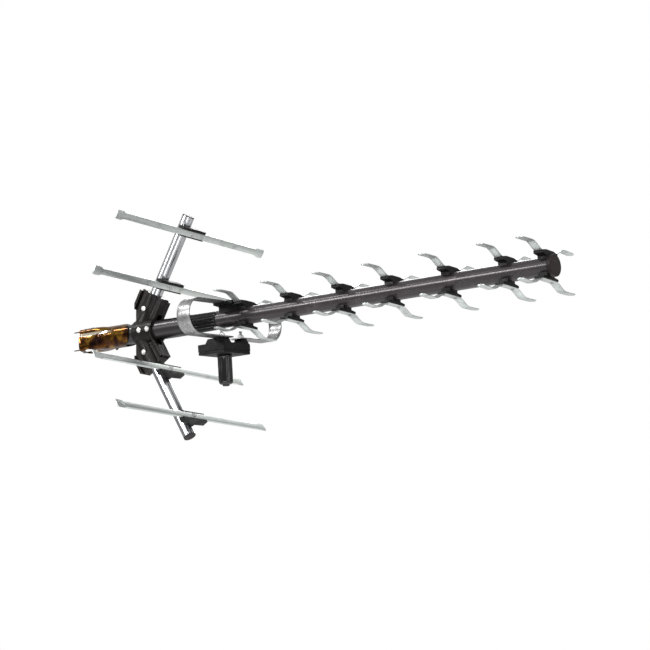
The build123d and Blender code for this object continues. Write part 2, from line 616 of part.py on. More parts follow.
def f_connector():
    """The threaded socket below the box, with its hexagonal nut against the lid."""
    top = BOARD_LEVEL - SEAT_GAP
    body = z_rod(CONNECTOR_R, BOX_X, 0, BOX_BOTTOM - CONNECTOR_LENGTH, top)
    nut = hexagon(CONNECTOR_HEX, BOX_X, 0, BOX_BOTTOM - CONNECTOR_HEX_HEIGHT, CONNECTOR_HEX_HEIGHT)
    bore = z_rod(CONNECTOR_BORE_R, BOX_X, 0, BOX_BOTTOM - CONNECTOR_LENGTH, BOX_BOTTOM)
    return rolled(body + nut - bore)


def connector_boot():
    """The fluted rubber boot that slides down over the lead to bare the connector."""
    top = BOX_BOTTOM - SLIDE_GAP
    bottom = top - BOOT_LENGTH
    boot = z_rod(BOOT_R, BOX_X, 0, bottom, top)
    boot = chamfer(boot.edges().group_by(Axis.Z)[0], BOOT_CHAMFER)
    boot += z_rod(BOOT_NOSE_R, BOX_X, 0, bottom - BOOT_NOSE_LENGTH, bottom)
    hollow = CONNECTOR_HEX / 2 / math.cos(math.radians(30)) + SLIDE_GAP
    boot -= z_rod(hollow, BOX_X, 0, top - CONNECTOR_LENGTH - BOOT_HEADROOM, top)
    boot -= z_rod(BOOT_CABLE_R, BOX_X, 0, bottom - BOOT_NOSE_LENGTH, top)
    return rolled(boot)


def terminal_stud(side):
    """A stud from under the board, through its pedestal and the strip."""
    y = side * TERMINAL_Y
    low = BOARD_LEVEL - STUD_HEAD_HEIGHT
    stud = z_rod(STUD_R, DIPOLE_X, y, low, STUD_TOP)
    return rolled(stud + z_rod(STUD_HEAD_R, DIPOLE_X, y, low, BOARD_LEVEL))


def terminal_nut(side):
    """The washer and nut that press the strip on its pedestal."""
    y = side * TERMINAL_Y
    seat = DIPOLE_BOTTOM + DIPOLE_THICKNESS
    nut = hexagon(TERMINAL_NUT_FLAT, DIPOLE_X, y, seat + WASHER_HEIGHT, TERMINAL_NUT_HEIGHT)
    nut += z_rod(WASHER_R, DIPOLE_X, y, seat, seat + WASHER_HEIGHT)
    return rolled(nut - z_rod(STUD_R + SEAT_GAP, DIPOLE_X, y, seat, STUD_TOP))


# ---- mast clamp ----
def clamp_shell():
    """The +Y half of the sleeve: it grips the boom in front and the mast behind."""
    outer = SHELL_OUTER
    shell = x_rod(outer, SHELL_START, SHELL_END) - x_rod(SHELL_R, SHELL_START, SHELL_END)
    shell -= z_rod(MAST_R, 0, 0, -outer, outer)
    for tooth in range(TOOTH_COUNT):
        cut = block(MAST_R - TOOTH_DEPTH, MAST_R + TOOTH_DEPTH, -TOOTH_WIDTH / 2, TOOTH_WIDTH / 2,
                    -outer, outer)
        shell -= Rot(0, 0, 360 * (tooth + 0.5) / TOOTH_COUNT) * cut
    for side in (-1, 1):
        level = side * (outer - TONGUE_THICKNESS / 2 - SEAT_GAP)
        shell += block(SHELL_START - TONGUE_LENGTH, SHELL_START + SHELL_WALL / 2, 0, TONGUE_WIDTH / 2,
                       level - TONGUE_THICKNESS / 2, level + TONGUE_THICKNESS / 2)
    shell -= block(SHELL_START - TONGUE_LENGTH, SHELL_END, -outer, SHELL_PARTING, -outer, outer)
    shell -= y_rod(CLAMP_BOLT_R + HOLE_GAP, CLAMP_BOLT_PLACE, 0, 0, outer)
    return shell - y_rod(CLAMP_HEAD_R + HOLE_GAP, CLAMP_BOLT_PLACE, 0, CLAMP_SEAT, outer)


def clamp_bolt():
    """A dome-head bolt across both shells, its head on the -Y side."""
    place = CLAMP_BOLT_PLACE
    head = y_rod(CLAMP_HEAD_R, place, 0, -CLAMP_SEAT - CLAMP_HEAD_HEIGHT, -CLAMP_SEAT)
    head = fillet(head.edges().group_by(Axis.Y)[0], CLAMP_HEAD_HEIGHT * CLAMP_HEAD_ROUND)
    return head + y_rod(CLAMP_BOLT_R, place, 0, -CLAMP_SEAT, CLAMP_BOLT_END)


def wing_nut():
    """A wing nut that pulls the far shell in."""
    place = CLAMP_BOLT_PLACE
    seat = CLAMP_SEAT + SLIDE_GAP
    hub = y_rod(WING_HUB_R, place, 0, seat, seat + WING_HUB_HEIGHT)
    side_view = Polyline((0, seat + WING_FOOT), (0, seat + WING_HUB_HEIGHT),
                         (WING_SPAN / 2 - WING_TIP, seat + WING_HEIGHT),
                         (WING_SPAN / 2, seat + WING_HEIGHT - WING_TIP),
                         (WING_HUB_R, seat + WING_FOOT), close=True)
    across = Plane(origin=(place, 0, 0), x_dir=(0, 0, 1), z_dir=(-1, 0, 0))
    wing = extrude(across * make_face(side_view), WING_THICKNESS / 2, both=True)
    return hub + wing + below(wing) - y_rod(CLAMP_BOLT_R + RUNNING_GAP, place, 0, 0, CLAMP_BOLT_END)


# ---- assembly ----
nodes["rear_boom"] = tube(REAR_TUBE_R, TUBE_WALL, REAR_TUBE_START, REAR_TUBE_END)
for screw_x, screw_z, _ in bracket_screw_places()[:len(BOOM_SCREW_PLACES)]:
    nodes["rear_boom"] -= y_rod(SCREW_R + HOLE_GAP, screw_x, screw_z, -REAR_TUBE_R, REAR_TUBE_R)
nodes["front_boom"] = tube(FRONT_TUBE_R, TUBE_WALL, FRONT_TUBE_START, FRONT_TUBE_END)
nodes["boom_coupler"] = boom_coupler()
nodes["front_cap"] = front_cap()

half_bracket = bracket_half()
nodes["bracket_far_half"] = half_bracket
nodes["bracket_near_half"] = mirror(half_bracket, about=Plane.XZ)
nodes["bracket_screws"] = group([bracket_screw(*place) for place in bracket_screw_places()])
nodes["bracket_nuts"] = group([bracket_nut(*place) for place in bracket_screw_places()])

nodes["upper_arm"] = reflector_arm()
nodes["lower_arm"] = below(nodes["upper_arm"])
nodes["arm_plugs"] = group([arm_plug(), below(arm_plug())])
for row, element_place in zip(("outer", "inner"), ELEMENT_PLACES):
    element = reflector_element(element_place)
    clip = reflector_clip(element_place)
    nodes[f"reflector_upper_{row}"] = element
    nodes[f"reflector_lower_{row}"] = below(element)
    nodes[f"reflector_clip_upper_{row}"] = clip
    nodes[f"reflector_clip_lower_{row}"] = below(clip)
element_rivets = [reflector_rivet(element_place) for element_place in ELEMENT_PLACES]
nodes["reflector_rivets"] = group(element_rivets + [below(rivet) for rivet in element_rivets])

strip_rivets = []
for number, director_station in enumerate(STATIONS, start=1):
    strip = director(director_station)
    upper_clip = director_clip(director_station, bridged=True)
    lower_clip = below(director_clip(director_station, bridged=False))
    nodes[f"director_upper_{number}"] = strip
    nodes[f"director_lower_{number}"] = below(strip)
    nodes[f"director_clips_{number}"] = group([upper_clip, lower_clip])
    for rivet_side in (-1, 1):
        strip_rivets += [director_rivet(director_station, rivet_side, bridged=True),
                         below(director_rivet(director_station, rivet_side, bridged=False))]
nodes["director_rivets"] = group(strip_rivets)

nodes["dipole_loop"] = dipole_loop()
nodes["dipole_clip"] = dipole_clip()
nodes["dipole_rivet"] = dipole_rivet()
nodes["box_base"] = box_base()
nodes["box_lid"] = box_lid()
nodes["box_gasket"] = box_gasket()
nodes["balun_board"] = balun_board()
nodes["balun_core"] = balun_core()
nodes["f_connector"] = f_connector()
nodes["connector_boot"] = connector_boot()
nodes["terminal_studs"] = group([terminal_stud(-1), terminal_stud(1)])
nodes["terminal_nuts"] = group([terminal_nut(-1), terminal_nut(1)])

half_clamp = clamp_shell()
nodes["clamp_far_shell"] = half_clamp
nodes["clamp_near_shell"] = mirror(half_clamp, about=Plane.XZ)
nodes["clamp_bolt"] = clamp_bolt()
nodes["wing_nut"] = wing_nut()

os.makedirs("parts", exist_ok=True)
for name, shape in nodes.items():
    export_step(shape, f"parts/{name}.step")
print(len(nodes), "nodes")
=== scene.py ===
import bmesh
import bpy
import json
import math
import numpy as np
from mathutils import Matrix, Vector


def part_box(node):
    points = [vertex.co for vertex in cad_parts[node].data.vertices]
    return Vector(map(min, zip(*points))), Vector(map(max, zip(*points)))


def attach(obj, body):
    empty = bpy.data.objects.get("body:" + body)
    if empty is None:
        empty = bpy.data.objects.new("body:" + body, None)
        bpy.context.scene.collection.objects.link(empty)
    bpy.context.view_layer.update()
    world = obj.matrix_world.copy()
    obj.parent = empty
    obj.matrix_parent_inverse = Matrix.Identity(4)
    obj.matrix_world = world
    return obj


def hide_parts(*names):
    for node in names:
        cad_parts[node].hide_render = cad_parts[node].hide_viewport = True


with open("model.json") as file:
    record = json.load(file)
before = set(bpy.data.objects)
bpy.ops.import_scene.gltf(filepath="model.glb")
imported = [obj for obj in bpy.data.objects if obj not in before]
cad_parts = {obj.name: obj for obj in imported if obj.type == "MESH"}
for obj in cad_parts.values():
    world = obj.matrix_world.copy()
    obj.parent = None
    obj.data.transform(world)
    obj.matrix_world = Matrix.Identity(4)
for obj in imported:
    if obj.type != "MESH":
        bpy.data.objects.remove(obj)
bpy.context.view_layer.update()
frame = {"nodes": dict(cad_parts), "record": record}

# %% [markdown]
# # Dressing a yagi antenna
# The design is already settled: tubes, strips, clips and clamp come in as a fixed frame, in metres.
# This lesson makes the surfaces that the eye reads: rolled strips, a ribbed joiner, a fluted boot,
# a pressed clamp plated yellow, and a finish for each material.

nodes = frame["nodes"]
MM = 0.001
TURN = 2 * math.pi

# %% [markdown]
# ## The camera
# The antenna is seen from in front of its directors, from its right-hand side and from a little below,
# through a long lens. A camera could be aimed with a constraint, but a matrix made of three directions
# says it exactly: right, up and back, turned by a small roll.

# %% Place the camera
CAMERA_AZIMUTH = math.radians(35.81)
CAMERA_ELEVATION = math.radians(-10.91)
CAMERA_ROLL = math.radians(-1.074)
CAMERA_TARGET = Vector((0.3787, 0.0, -0.0274))
CAMERA_DISTANCE = 2.453
CAMERA_LENS = 111.43


def camera_axes(azimuth, elevation, roll):
    """Right, up and back. Back points from the target to the camera; right is level before the roll."""
    back = Vector((math.sin(azimuth) * math.cos(elevation), -math.cos(azimuth) * math.cos(elevation),
                   math.sin(elevation)))
    right = Vector((math.cos(azimuth), math.sin(azimuth), 0))
    up = back.cross(right)
    return (right * math.cos(roll) + up * math.sin(roll), up * math.cos(roll) - right * math.sin(roll), back)


def place_camera():
    """A 36 mm camera whose matrix columns are its axes and its place."""
    right, up, back = camera_axes(CAMERA_AZIMUTH, CAMERA_ELEVATION, CAMERA_ROLL)
    camera = bpy.data.objects.new("camera", bpy.data.cameras.new("camera"))
    camera.data.lens = CAMERA_LENS
    camera.data.clip_end = 50
    camera.matrix_world = Matrix.Translation(CAMERA_TARGET + back * CAMERA_DISTANCE) @ Matrix(
        (right, up, back)).transposed().to_4x4()
    bpy.context.scene.collection.objects.link(camera)
    bpy.context.scene.camera = camera
    return camera


camera = place_camera()
print("camera at", [round(v, 3) for v in camera.matrix_world.translation])

# %% [markdown]
# ## Floor and light
# A white studio lights the antenna from all round, but metal needs something dark to reflect, or it
# looks like paper. So the sky that the surfaces see is a gradient from grey at the horizon to white
# above, while the camera itself sees plain white. Wide soft panels light the sides, and two narrow ones
# draw a line along the boom and along the clamp's crest.

# %% Build the studio
FLOOR_LEVEL = -1.25
FLOOR_HALF = 12.0
SKY_SEEN = 1.0
SKY_LOW = 0.12
SKY_HIGH = 0.74
SKY_RISE = (-0.5, 0.7)
FLOOR_TINT = (0.86, 0.86, 0.86, 1)
FLOOR_ROUGHNESS = 0.8
PANELS = (
    ("key_panel", (0.4, -2.4, 1.9), (1.5, 0.9), 36),
    ("side_panel", (2.6, -0.6, 0.5), (0.5, 2.0), 22),
    ("under_panel", (0.9, -1.9, -1.1), (1.6, 0.5), 13),
    ("back_panel", (-0.8, 2.0, 1.2), (1.6, 1.2), 36),
    ("line_panel", (-0.75, -1.9, 0.55), (0.8, 0.12), 20),
    ("crest_panel", (-1.25, -1.08, 1.45), (0.9, 0.12), 12),
)


def add_floor():
    """One pale square far below, because the antenna hangs on a mast."""
    corners = np.array([(-1, -1, 0), (1, -1, 0), (1, 1, 0), (-1, 1, 0)]) * FLOOR_HALF
    corners[:, 2] = FLOOR_LEVEL
    mesh = bpy.data.meshes.new("floor")
    mesh.from_pydata(corners.tolist(), [], [(0, 1, 2, 3)])
    floor = bpy.data.objects.new("floor", mesh)
    bpy.context.scene.collection.objects.link(floor)
    paint = bpy.data.materials.new("floor_paint")
    paint.use_nodes = True
    shader = paint.node_tree.nodes["Principled BSDF"]
    shader.inputs["Base Color"].default_value = FLOOR_TINT
    shader.inputs["Roughness"].default_value = FLOOR_ROUGHNESS
    mesh.materials.append(paint)


def add_sky():
    """Background strength: white to the camera, otherwise a smooth rise with the direction's height."""
    world = bpy.data.worlds.new("studio")
    bpy.context.scene.world = world
    world.use_nodes = True
    tree = world.node_tree
    background = tree.nodes["Background"]
    place = tree.nodes.new("ShaderNodeTexCoord")
    split = tree.nodes.new("ShaderNodeSeparateXYZ")
    rise = tree.nodes.new("ShaderNodeMapRange")
    rise.interpolation_type = "SMOOTHSTEP"
    rise.inputs["From Min"].default_value, rise.inputs["From Max"].default_value = SKY_RISE
    rise.inputs["To Min"].default_value = SKY_LOW
    rise.inputs["To Max"].default_value = SKY_HIGH
    path = tree.nodes.new("ShaderNodeLightPath")
    choose = tree.nodes.new("ShaderNodeMix")
    choose.inputs["B"].default_value = SKY_SEEN
    tree.links.new(place.outputs["Generated"], split.inputs["Vector"])
    tree.links.new(split.outputs["Z"], rise.inputs["Value"])
    tree.links.new(rise.outputs["Result"], choose.inputs["A"])
    tree.links.new(path.outputs["Is Camera Ray"], choose.inputs["Factor"])
    tree.links.new(choose.outputs["Result"], background.inputs["Strength"])
    background.inputs["Color"].default_value = (1, 1, 1, 1)


def add_panel(name, place, size, power):
    """A rectangular soft light that faces the middle of the antenna."""
    data = bpy.data.lights.new(name, "AREA")
    data.shape = "RECTANGLE"
    data.size, data.size_y = size
    data.energy = power
    lamp = bpy.data.objects.new(name, data)
    lamp.location = place
    lamp.rotation_euler = (CAMERA_TARGET - Vector(place)).to_track_quat("-Z", "Y").to_euler()
    bpy.context.scene.collection.objects.link(lamp)


add_floor()
add_sky()
for panel in PANELS:
    add_panel(*panel)
bpy.context.scene.view_settings.view_transform = "Standard"
print("floor at", FLOOR_LEVEL, "m and", len(PANELS), "panels")

# %% [markdown]
# ## Effects that several finishes share
# Wear, grain and streaks turn up on many of these pieces. Each is a small node group, built once, with
# inputs for its size and strength. A group only hands out masks, roughness values and normals; the
# shader stays in the material, where each finish sets its own constants.

# %% A helper that makes a group
FLOAT = "NodeSocketFloat"
VECTOR = "NodeSocketVector"


def new_group(name, inputs, outputs):
    """An empty shader group with its sockets. Inputs are (name, kind, default); outputs are (name, kind)."""
    tree = bpy.data.node_groups.new(name, "ShaderNodeTree")
    for socket, kind, default in inputs:
        made = tree.interface.new_socket(socket, in_out="INPUT", socket_type=kind)
        if default is not None:
            made.default_value = default
    for socket, kind in outputs:
        tree.interface.new_socket(socket, in_out="OUTPUT", socket_type=kind)
    return tree, tree.nodes.new("NodeGroupInput"), tree.nodes.new("NodeGroupOutput")


def add_noise(tree, vector, scale, detail=3.0, roughness=0.5):
    """A noise texture on a vector. The scale is a number or a socket."""
    noise = tree.nodes.new("ShaderNodeTexNoise")
    noise.inputs["Detail"].default_value = detail
    noise.inputs["Roughness"].default_value = roughness
    tree.links.new(vector, noise.inputs["Vector"])
    if isinstance(scale, (int, float)):
        noise.inputs["Scale"].default_value = scale
    else:
        tree.links.new(scale, noise.inputs["Scale"])
    return noise.outputs["Fac"]


def add_range(tree, value, from_min, from_max, to_min, to_max):
    """A clamped map range. Each limit is a number or a socket."""
    rule = tree.nodes.new("ShaderNodeMapRange")
    tree.links.new(value, rule.inputs["Value"])
    limits = {"From Min": from_min, "From Max": from_max, "To Min": to_min, "To Max": to_max}
    for socket, limit in limits.items():
        if isinstance(limit, (int, float)):
            rule.inputs[socket].default_value = limit
        else:
            tree.links.new(limit, rule.inputs[socket])
    return rule.outputs["Result"]


def add_bump(tree, height, strength, distance):
    """A bump read from a height socket. The strength is a number or a socket; the distance is in metres."""
    bump = tree.nodes.new("ShaderNodeBump")
    bump.inputs["Distance"].default_value = distance
    tree.links.new(height, bump.inputs["Height"])
    if isinstance(strength, (int, float)):
        bump.inputs["Strength"].default_value = strength
    else:
        tree.links.new(strength, bump.inputs["Strength"])
    return bump.outputs["Normal"]


def add_math(tree, operation, *values):
    """A math node. Each value is a number or a socket."""
    rule = tree.nodes.new("ShaderNodeMath")
    rule.operation = operation
    for socket, value in zip(rule.inputs, values):
        if isinstance(value, (int, float)):
            socket.default_value = value
        else:
            tree.links.new(value, socket)
    return rule.outputs[0]


print("group helpers ready, with sockets of", FLOAT, "and", VECTOR)

# %% [markdown]
# ### Streaks along a drawn tube or a rolled strip
# Extruded and rolled metal carries fine lines along its length. Noise squeezed across the length and
# stretched along it gives them. Two layers, broad and fine, keep the lines from looking like a comb.

# %% The streaks group
BROAD_STREAKS = 0.3
FINE_STREAKS = 1.4
FINE_SHARE = 0.45
STREAK_CUT = (0.32, 0.68)


def make_streaks():
    """Mask = broad and fine noise mixed by the fine share, both on a vector stretched along X."""
    tree, given, result = new_group("drawn_streaks", (("Vector", VECTOR, None), ("Along", FLOAT, 6.0),
                                                      ("Across", FLOAT, 900.0)), (("Mask", FLOAT),))
    stretch = tree.nodes.new("ShaderNodeCombineXYZ")
    tree.links.new(given.outputs["Along"], stretch.inputs["X"])
    tree.links.new(given.outputs["Across"], stretch.inputs["Y"])
    tree.links.new(given.outputs["Across"], stretch.inputs["Z"])
    scaled = tree.nodes.new("ShaderNodeVectorMath")
    scaled.operation = "MULTIPLY"
    tree.links.new(given.outputs["Vector"], scaled.inputs[0])
    tree.links.new(stretch.outputs["Vector"], scaled.inputs[1])
    broad = add_noise(tree, scaled.outputs["Vector"], BROAD_STREAKS, detail=2.0)
    fine = add_noise(tree, scaled.outputs["Vector"], FINE_STREAKS)
    mix = tree.nodes.new("ShaderNodeMix")
    mix.inputs["Factor"].default_value = FINE_SHARE
    tree.links.new(broad, mix.inputs["A"])
    tree.links.new(fine, mix.inputs["B"])
    tree.links.new(add_range(tree, mix.outputs["Result"], *STREAK_CUT, 0.0, 1.0), result.inputs["Mask"])
    return tree


streaks_group = make_streaks()
print("made", streaks_group.name)


# %% [markdown]
# ### The fine texture of a moulded or blasted face
# Black plastic is rarely smooth: the mould is eroded to hide flow marks. A fine noise drives a bump, and
# a broader one varies the gloss, so the highlights break up as they do on a real moulding.

# %% The grain group
GRAIN_DEPTH = 0.3 * MM
GRAIN_CUT = (0.35, 0.65)


def make_grain():
    """Normal = bump of fine noise. Roughness = a base value plus broad noise times a spread."""
    tree, given, result = new_group("moulded_grain", (
        ("Vector", VECTOR, None), ("Scale", FLOAT, 900.0), ("Bump", FLOAT, 0.3), ("Rough Low", FLOAT, 0.4),
        ("Rough High", FLOAT, 0.6), ("Patch Scale", FLOAT, 60.0)), (("Normal", VECTOR), ("Roughness", FLOAT)))
    fine = add_noise(tree, given.outputs["Vector"], given.outputs["Scale"])
    tree.links.new(add_bump(tree, fine, given.outputs["Bump"], GRAIN_DEPTH), result.inputs["Normal"])
    patches = add_noise(tree, given.outputs["Vector"], given.outputs["Patch Scale"], detail=4.0)
    rough = add_range(tree, patches, *GRAIN_CUT, given.outputs["Rough Low"], given.outputs["Rough High"])
    tree.links.new(rough, result.inputs["Roughness"])
    return tree


grain_group = make_grain()
print("made", grain_group.name)


# %% [markdown]
# ### Handling marks
# Smudges, dull spots and small specks come from packing and fitting. A detailed noise cut by a
# threshold gives soft islands, and cell noise gives the specks.

# %% The marks group
ISLAND_CUT = 0.9
ISLAND_EDGE = 0.16
SPECK_SCALE = 420.0
SPECK_SIZE = (0.10, 0.18)
SPECK_STRENGTH = 0.7


def make_marks():
    """Mask = islands of noise above a threshold, joined with the specks near cell centres."""
    tree, given, result = new_group("handling_marks", (
        ("Vector", VECTOR, None), ("Scale", FLOAT, 40.0), ("Amount", FLOAT, 0.5)), (("Mask", FLOAT),))
    islands = add_noise(tree, given.outputs["Vector"], given.outputs["Scale"], detail=6.0, roughness=0.62)
    limit = add_math(tree, "SUBTRACT", ISLAND_CUT, given.outputs["Amount"])
    soft = add_range(tree, islands, limit, add_math(tree, "ADD", limit, ISLAND_EDGE), 0.0, 1.0)
    cells = tree.nodes.new("ShaderNodeTexVoronoi")
    tree.links.new(given.outputs["Vector"], cells.inputs["Vector"])
    cells.inputs["Scale"].default_value = SPECK_SCALE
    specks = add_range(tree, cells.outputs["Distance"], *SPECK_SIZE, SPECK_STRENGTH, 0.0)
    tree.links.new(add_math(tree, "MAXIMUM", soft, specks), result.inputs["Mask"])
    return tree


marks_group = make_marks()
print("made", marks_group.name)


# %% [markdown]
# ## A small toolkit for finishes
# Every finish starts the same way: Object coordinates, which are the same metres for every piece, a
# Mapping that turns X along the piece, and one Principled shader with its constants set on its own
# sockets. These helpers keep each finish below to its own few lines.

# %% Helpers for materials
def start_finish(name, constants, turn=(0, 0, 0)):
    """A new material: returns it, its tree, its shader and the turned object coordinates."""
    made = bpy.data.materials.new(name)
    made.use_nodes = True
    tree = made.node_tree
    shader = tree.nodes["Principled BSDF"]
    for socket, value in constants.items():
        shader.inputs[socket].default_value = value
    place = tree.nodes.new("ShaderNodeTexCoord")
    mapping = tree.nodes.new("ShaderNodeMapping")
    mapping.inputs["Rotation"].default_value = turn
    tree.links.new(place.outputs["Object"], mapping.inputs["Vector"])
    return made, tree, shader, mapping.outputs["Vector"]


def use_group(tree, group, vector, values):
    """Places a group in a material, with its own values."""
    node = tree.nodes.new("ShaderNodeGroup")
    node.node_tree = group
    tree.links.new(vector, node.inputs["Vector"])
    for socket, value in values.items():
        node.inputs[socket].default_value = value
    return node.outputs


def blend_colors(tree, mask, low, high):
    """A colour between two others, each a triple or a socket, by a mask."""
    mix = tree.nodes.new("ShaderNodeMix")
    mix.data_type = "RGBA"
    tree.links.new(mask, mix.inputs["Factor"])
    for socket, value in ((mix.inputs[6], low), (mix.inputs[7], high)):
        if isinstance(value, tuple):
            socket.default_value = (*value, 1)
        else:
            tree.links.new(value, socket)
    return mix.outputs[2]


finishes = {}
print("material helpers ready")

# %% [markdown]
# ## The boom's dark finish
# The two boom tubes are aluminium under a thin satin black-brown coat that still shows the drawing
# lines. A dark base with pale streaks would look painted on, so the streaks change the gloss as well:
# where a line is bright it is also a little smoother.

# %% Boom finish
BOOM_STREAKS = {"Along": 5.0, "Across": 700.0}
BOOM_MARKS = {"Scale": 55.0, "Amount": 0.32}
BOOM_DUST_GAIN = 2.2
BOOM_DUST_SHARE = 0.35
BOOM_BUMP = 0.12
STREAK_DEPTH = 0.2 * MM


def make_boom_finish(name, dark, line, rough_low, rough_high):
    """Dark coat; drawn streaks move its colour from dark to line and its roughness down."""
    made, tree, shader, place = start_finish(name, {"Metallic": 0.35, "IOR": 1.5, "Specular IOR Level": 0.6})
    streaks = use_group(tree, streaks_group, place, BOOM_STREAKS)
    marks = use_group(tree, marks_group, place, BOOM_MARKS)
    color = blend_colors(tree, streaks["Mask"], dark, line)
    dusty = tuple(BOOM_DUST_GAIN * part for part in line)
    faint = add_range(tree, marks["Mask"], 0, 1, 0, BOOM_DUST_SHARE)
    tree.links.new(blend_colors(tree, faint, color, dusty), shader.inputs["Base Color"])
    tree.links.new(add_range(tree, streaks["Mask"], 0, 1, rough_high, rough_low), shader.inputs["Roughness"])
    tree.links.new(add_bump(tree, streaks["Mask"], BOOM_BUMP, STREAK_DEPTH), shader.inputs["Normal"])
    finishes[name] = made


make_boom_finish("front_boom_coat", (0.009, 0.0068, 0.0075), (0.046, 0.037, 0.040), 0.17, 0.42)
make_boom_finish("rear_boom_coat", (0.006, 0.005, 0.006), (0.022, 0.019, 0.021), 0.20, 0.40)
print("finishes:", sorted(finishes))

# %% [markdown]
# ## Black plastics
# Clips, bracket, box and caps are moulded in black nylon. They share the grain group, but each has its
# own tint, gloss and grain: the bracket is browner and the box is duller, while the joiner and the
# boot are nearly polished.

# %% Plastic finishes
PLASTIC_MARKS = {"Scale": 90.0, "Amount": 0.36}
PLASTIC_PATCHES = 70.0


def make_plastic(name, dark, worn, grain_scale, bump, rough_low, rough_high, level=0.16):
    """Grain drives the bump and the roughness; handling marks lift the colour towards a worn tint."""
    made, tree, shader, place = start_finish(name, {"Specular IOR Level": level})
    grain = use_group(tree, grain_group, place, {"Scale": grain_scale, "Bump": bump, "Rough Low": rough_low,
                                                 "Rough High": rough_high, "Patch Scale": PLASTIC_PATCHES})
    marks = use_group(tree, marks_group, place, PLASTIC_MARKS)
    tree.links.new(blend_colors(tree, marks["Mask"], dark, worn), shader.inputs["Base Color"])
    tree.links.new(grain["Normal"], shader.inputs["Normal"])
    tree.links.new(grain["Roughness"], shader.inputs["Roughness"])
    finishes[name] = made


PLASTICS = (
    ("clip_plastic", (0.0045, 0.0042, 0.0042), (0.016, 0.015, 0.015), 420.0, 0.65, 0.34, 0.58),
    ("bracket_plastic", (0.0058, 0.0042, 0.0040), (0.018, 0.0135, 0.013), 700.0, 0.40, 0.26, 0.46),
    ("box_plastic", (0.0045, 0.0043, 0.0042), (0.014, 0.0135, 0.0135), 1100.0, 0.35, 0.40, 0.60),
    ("cap_plastic", (0.014, 0.010, 0.009), (0.036, 0.029, 0.027), 800.0, 0.35, 0.36, 0.56),
    ("joiner_plastic", (0.0035, 0.0035, 0.0038), (0.008, 0.008, 0.009), 600.0, 0.10, 0.06, 0.16, 0.5),
    ("boot_rubber_skin", (0.0035, 0.0035, 0.0040), (0.008, 0.008, 0.009), 900.0, 0.10, 0.08, 0.20, 0.5),
    ("gasket_rubber_skin", (0.030, 0.030, 0.031), (0.055, 0.055, 0.056), 1500.0, 0.40, 0.60, 0.80),
    ("ferrite_grain", (0.030, 0.030, 0.033), (0.060, 0.058, 0.060), 1800.0, 0.60, 0.45, 0.70),
)
for plastic in PLASTICS:
    make_plastic(*plastic)
print("finishes:", len(finishes))

# %% [markdown]
# ## Bare aluminium and steel
# The strips are rolled and left bare, with a pale green-grey passivation. The arms are polished tube.
# The dipole's strip is mottled from bending and tumbling. All are metallic shaders whose base
# colour and roughness vary along the drawing direction, so the Mapping node turns that way first.

# %% Metal finishes
ARM_LEAN = math.radians(30)
MARK_ROUGHNESS = 0.12


def make_metal(name, tints, rough, turn, stretch, marks_amount, marks_scale=40.0, streak_bump=0.15):
    """Streaks mix two tints and two roughness values; marks pull towards a third, duller tint."""
    made, tree, shader, place = start_finish(name, {"Metallic": 1.0}, turn)
    low, high, dull = tints
    streaks = use_group(tree, streaks_group, place, {"Along": stretch[0], "Across": stretch[1]})
    marks = use_group(tree, marks_group, place, {"Scale": marks_scale, "Amount": marks_amount})
    drawn = blend_colors(tree, streaks["Mask"], low, high)
    tree.links.new(blend_colors(tree, marks["Mask"], drawn, dull), shader.inputs["Base Color"])
    smooth, coarse = rough
    drawn_rough = add_range(tree, streaks["Mask"], 0, 1, coarse, smooth)
    worn = add_math(tree, "MULTIPLY_ADD", marks["Mask"], MARK_ROUGHNESS, drawn_rough)
    tree.links.new(worn, shader.inputs["Roughness"])
    tree.links.new(add_bump(tree, streaks["Mask"], streak_bump, STREAK_DEPTH), shader.inputs["Normal"])
    finishes[name] = made


ACROSS = (0, 0, math.pi / 2)
UP_ARM = (0, math.pi / 2 - ARM_LEAN, 0)
DOWN_ARM = (0, ARM_LEAN - math.pi / 2, 0)
STRIP_TINTS = ((0.50, 0.535, 0.52), (0.66, 0.695, 0.675), (0.40, 0.425, 0.415))
DIPOLE_TINTS = ((0.19, 0.19, 0.20), (0.46, 0.46, 0.455), (0.12, 0.115, 0.12))
TUBE_TINTS = ((0.38, 0.39, 0.41), (0.56, 0.56, 0.58), (0.30, 0.30, 0.32))
ZINC_TINTS = ((0.40, 0.40, 0.41), (0.62, 0.62, 0.61), (0.25, 0.25, 0.26))
RIVET_TINTS = ((0.20, 0.21, 0.21), (0.36, 0.37, 0.37), (0.12, 0.12, 0.12))
METALS = (
    ("rolled_strip", STRIP_TINTS, (0.30, 0.46), ACROSS, (9.0, 800.0), 0.34),
    ("director_strip", STRIP_TINTS, (0.32, 0.48), ACROSS, (14.0, 900.0), 0.42),
    ("bent_strip", DIPOLE_TINTS, (0.22, 0.42), ACROSS, (60.0, 320.0), 0.44),
    ("upper_tube", TUBE_TINTS, (0.16, 0.26), UP_ARM, (6.0, 800.0), 0.30, 40.0, 0.03),
    ("lower_tube", TUBE_TINTS, (0.16, 0.26), DOWN_ARM, (6.0, 800.0), 0.30, 40.0, 0.03),
    ("bright_zinc", ZINC_TINTS, (0.18, 0.34), (0, 0, 0), (200.0, 200.0), 0.40),
    ("dull_rivet", RIVET_TINTS, (0.35, 0.50), (0, 0, 0), (300.0, 300.0), 0.40),
)
for metal in METALS:
    make_metal(*metal)
print("finishes:", len(finishes))
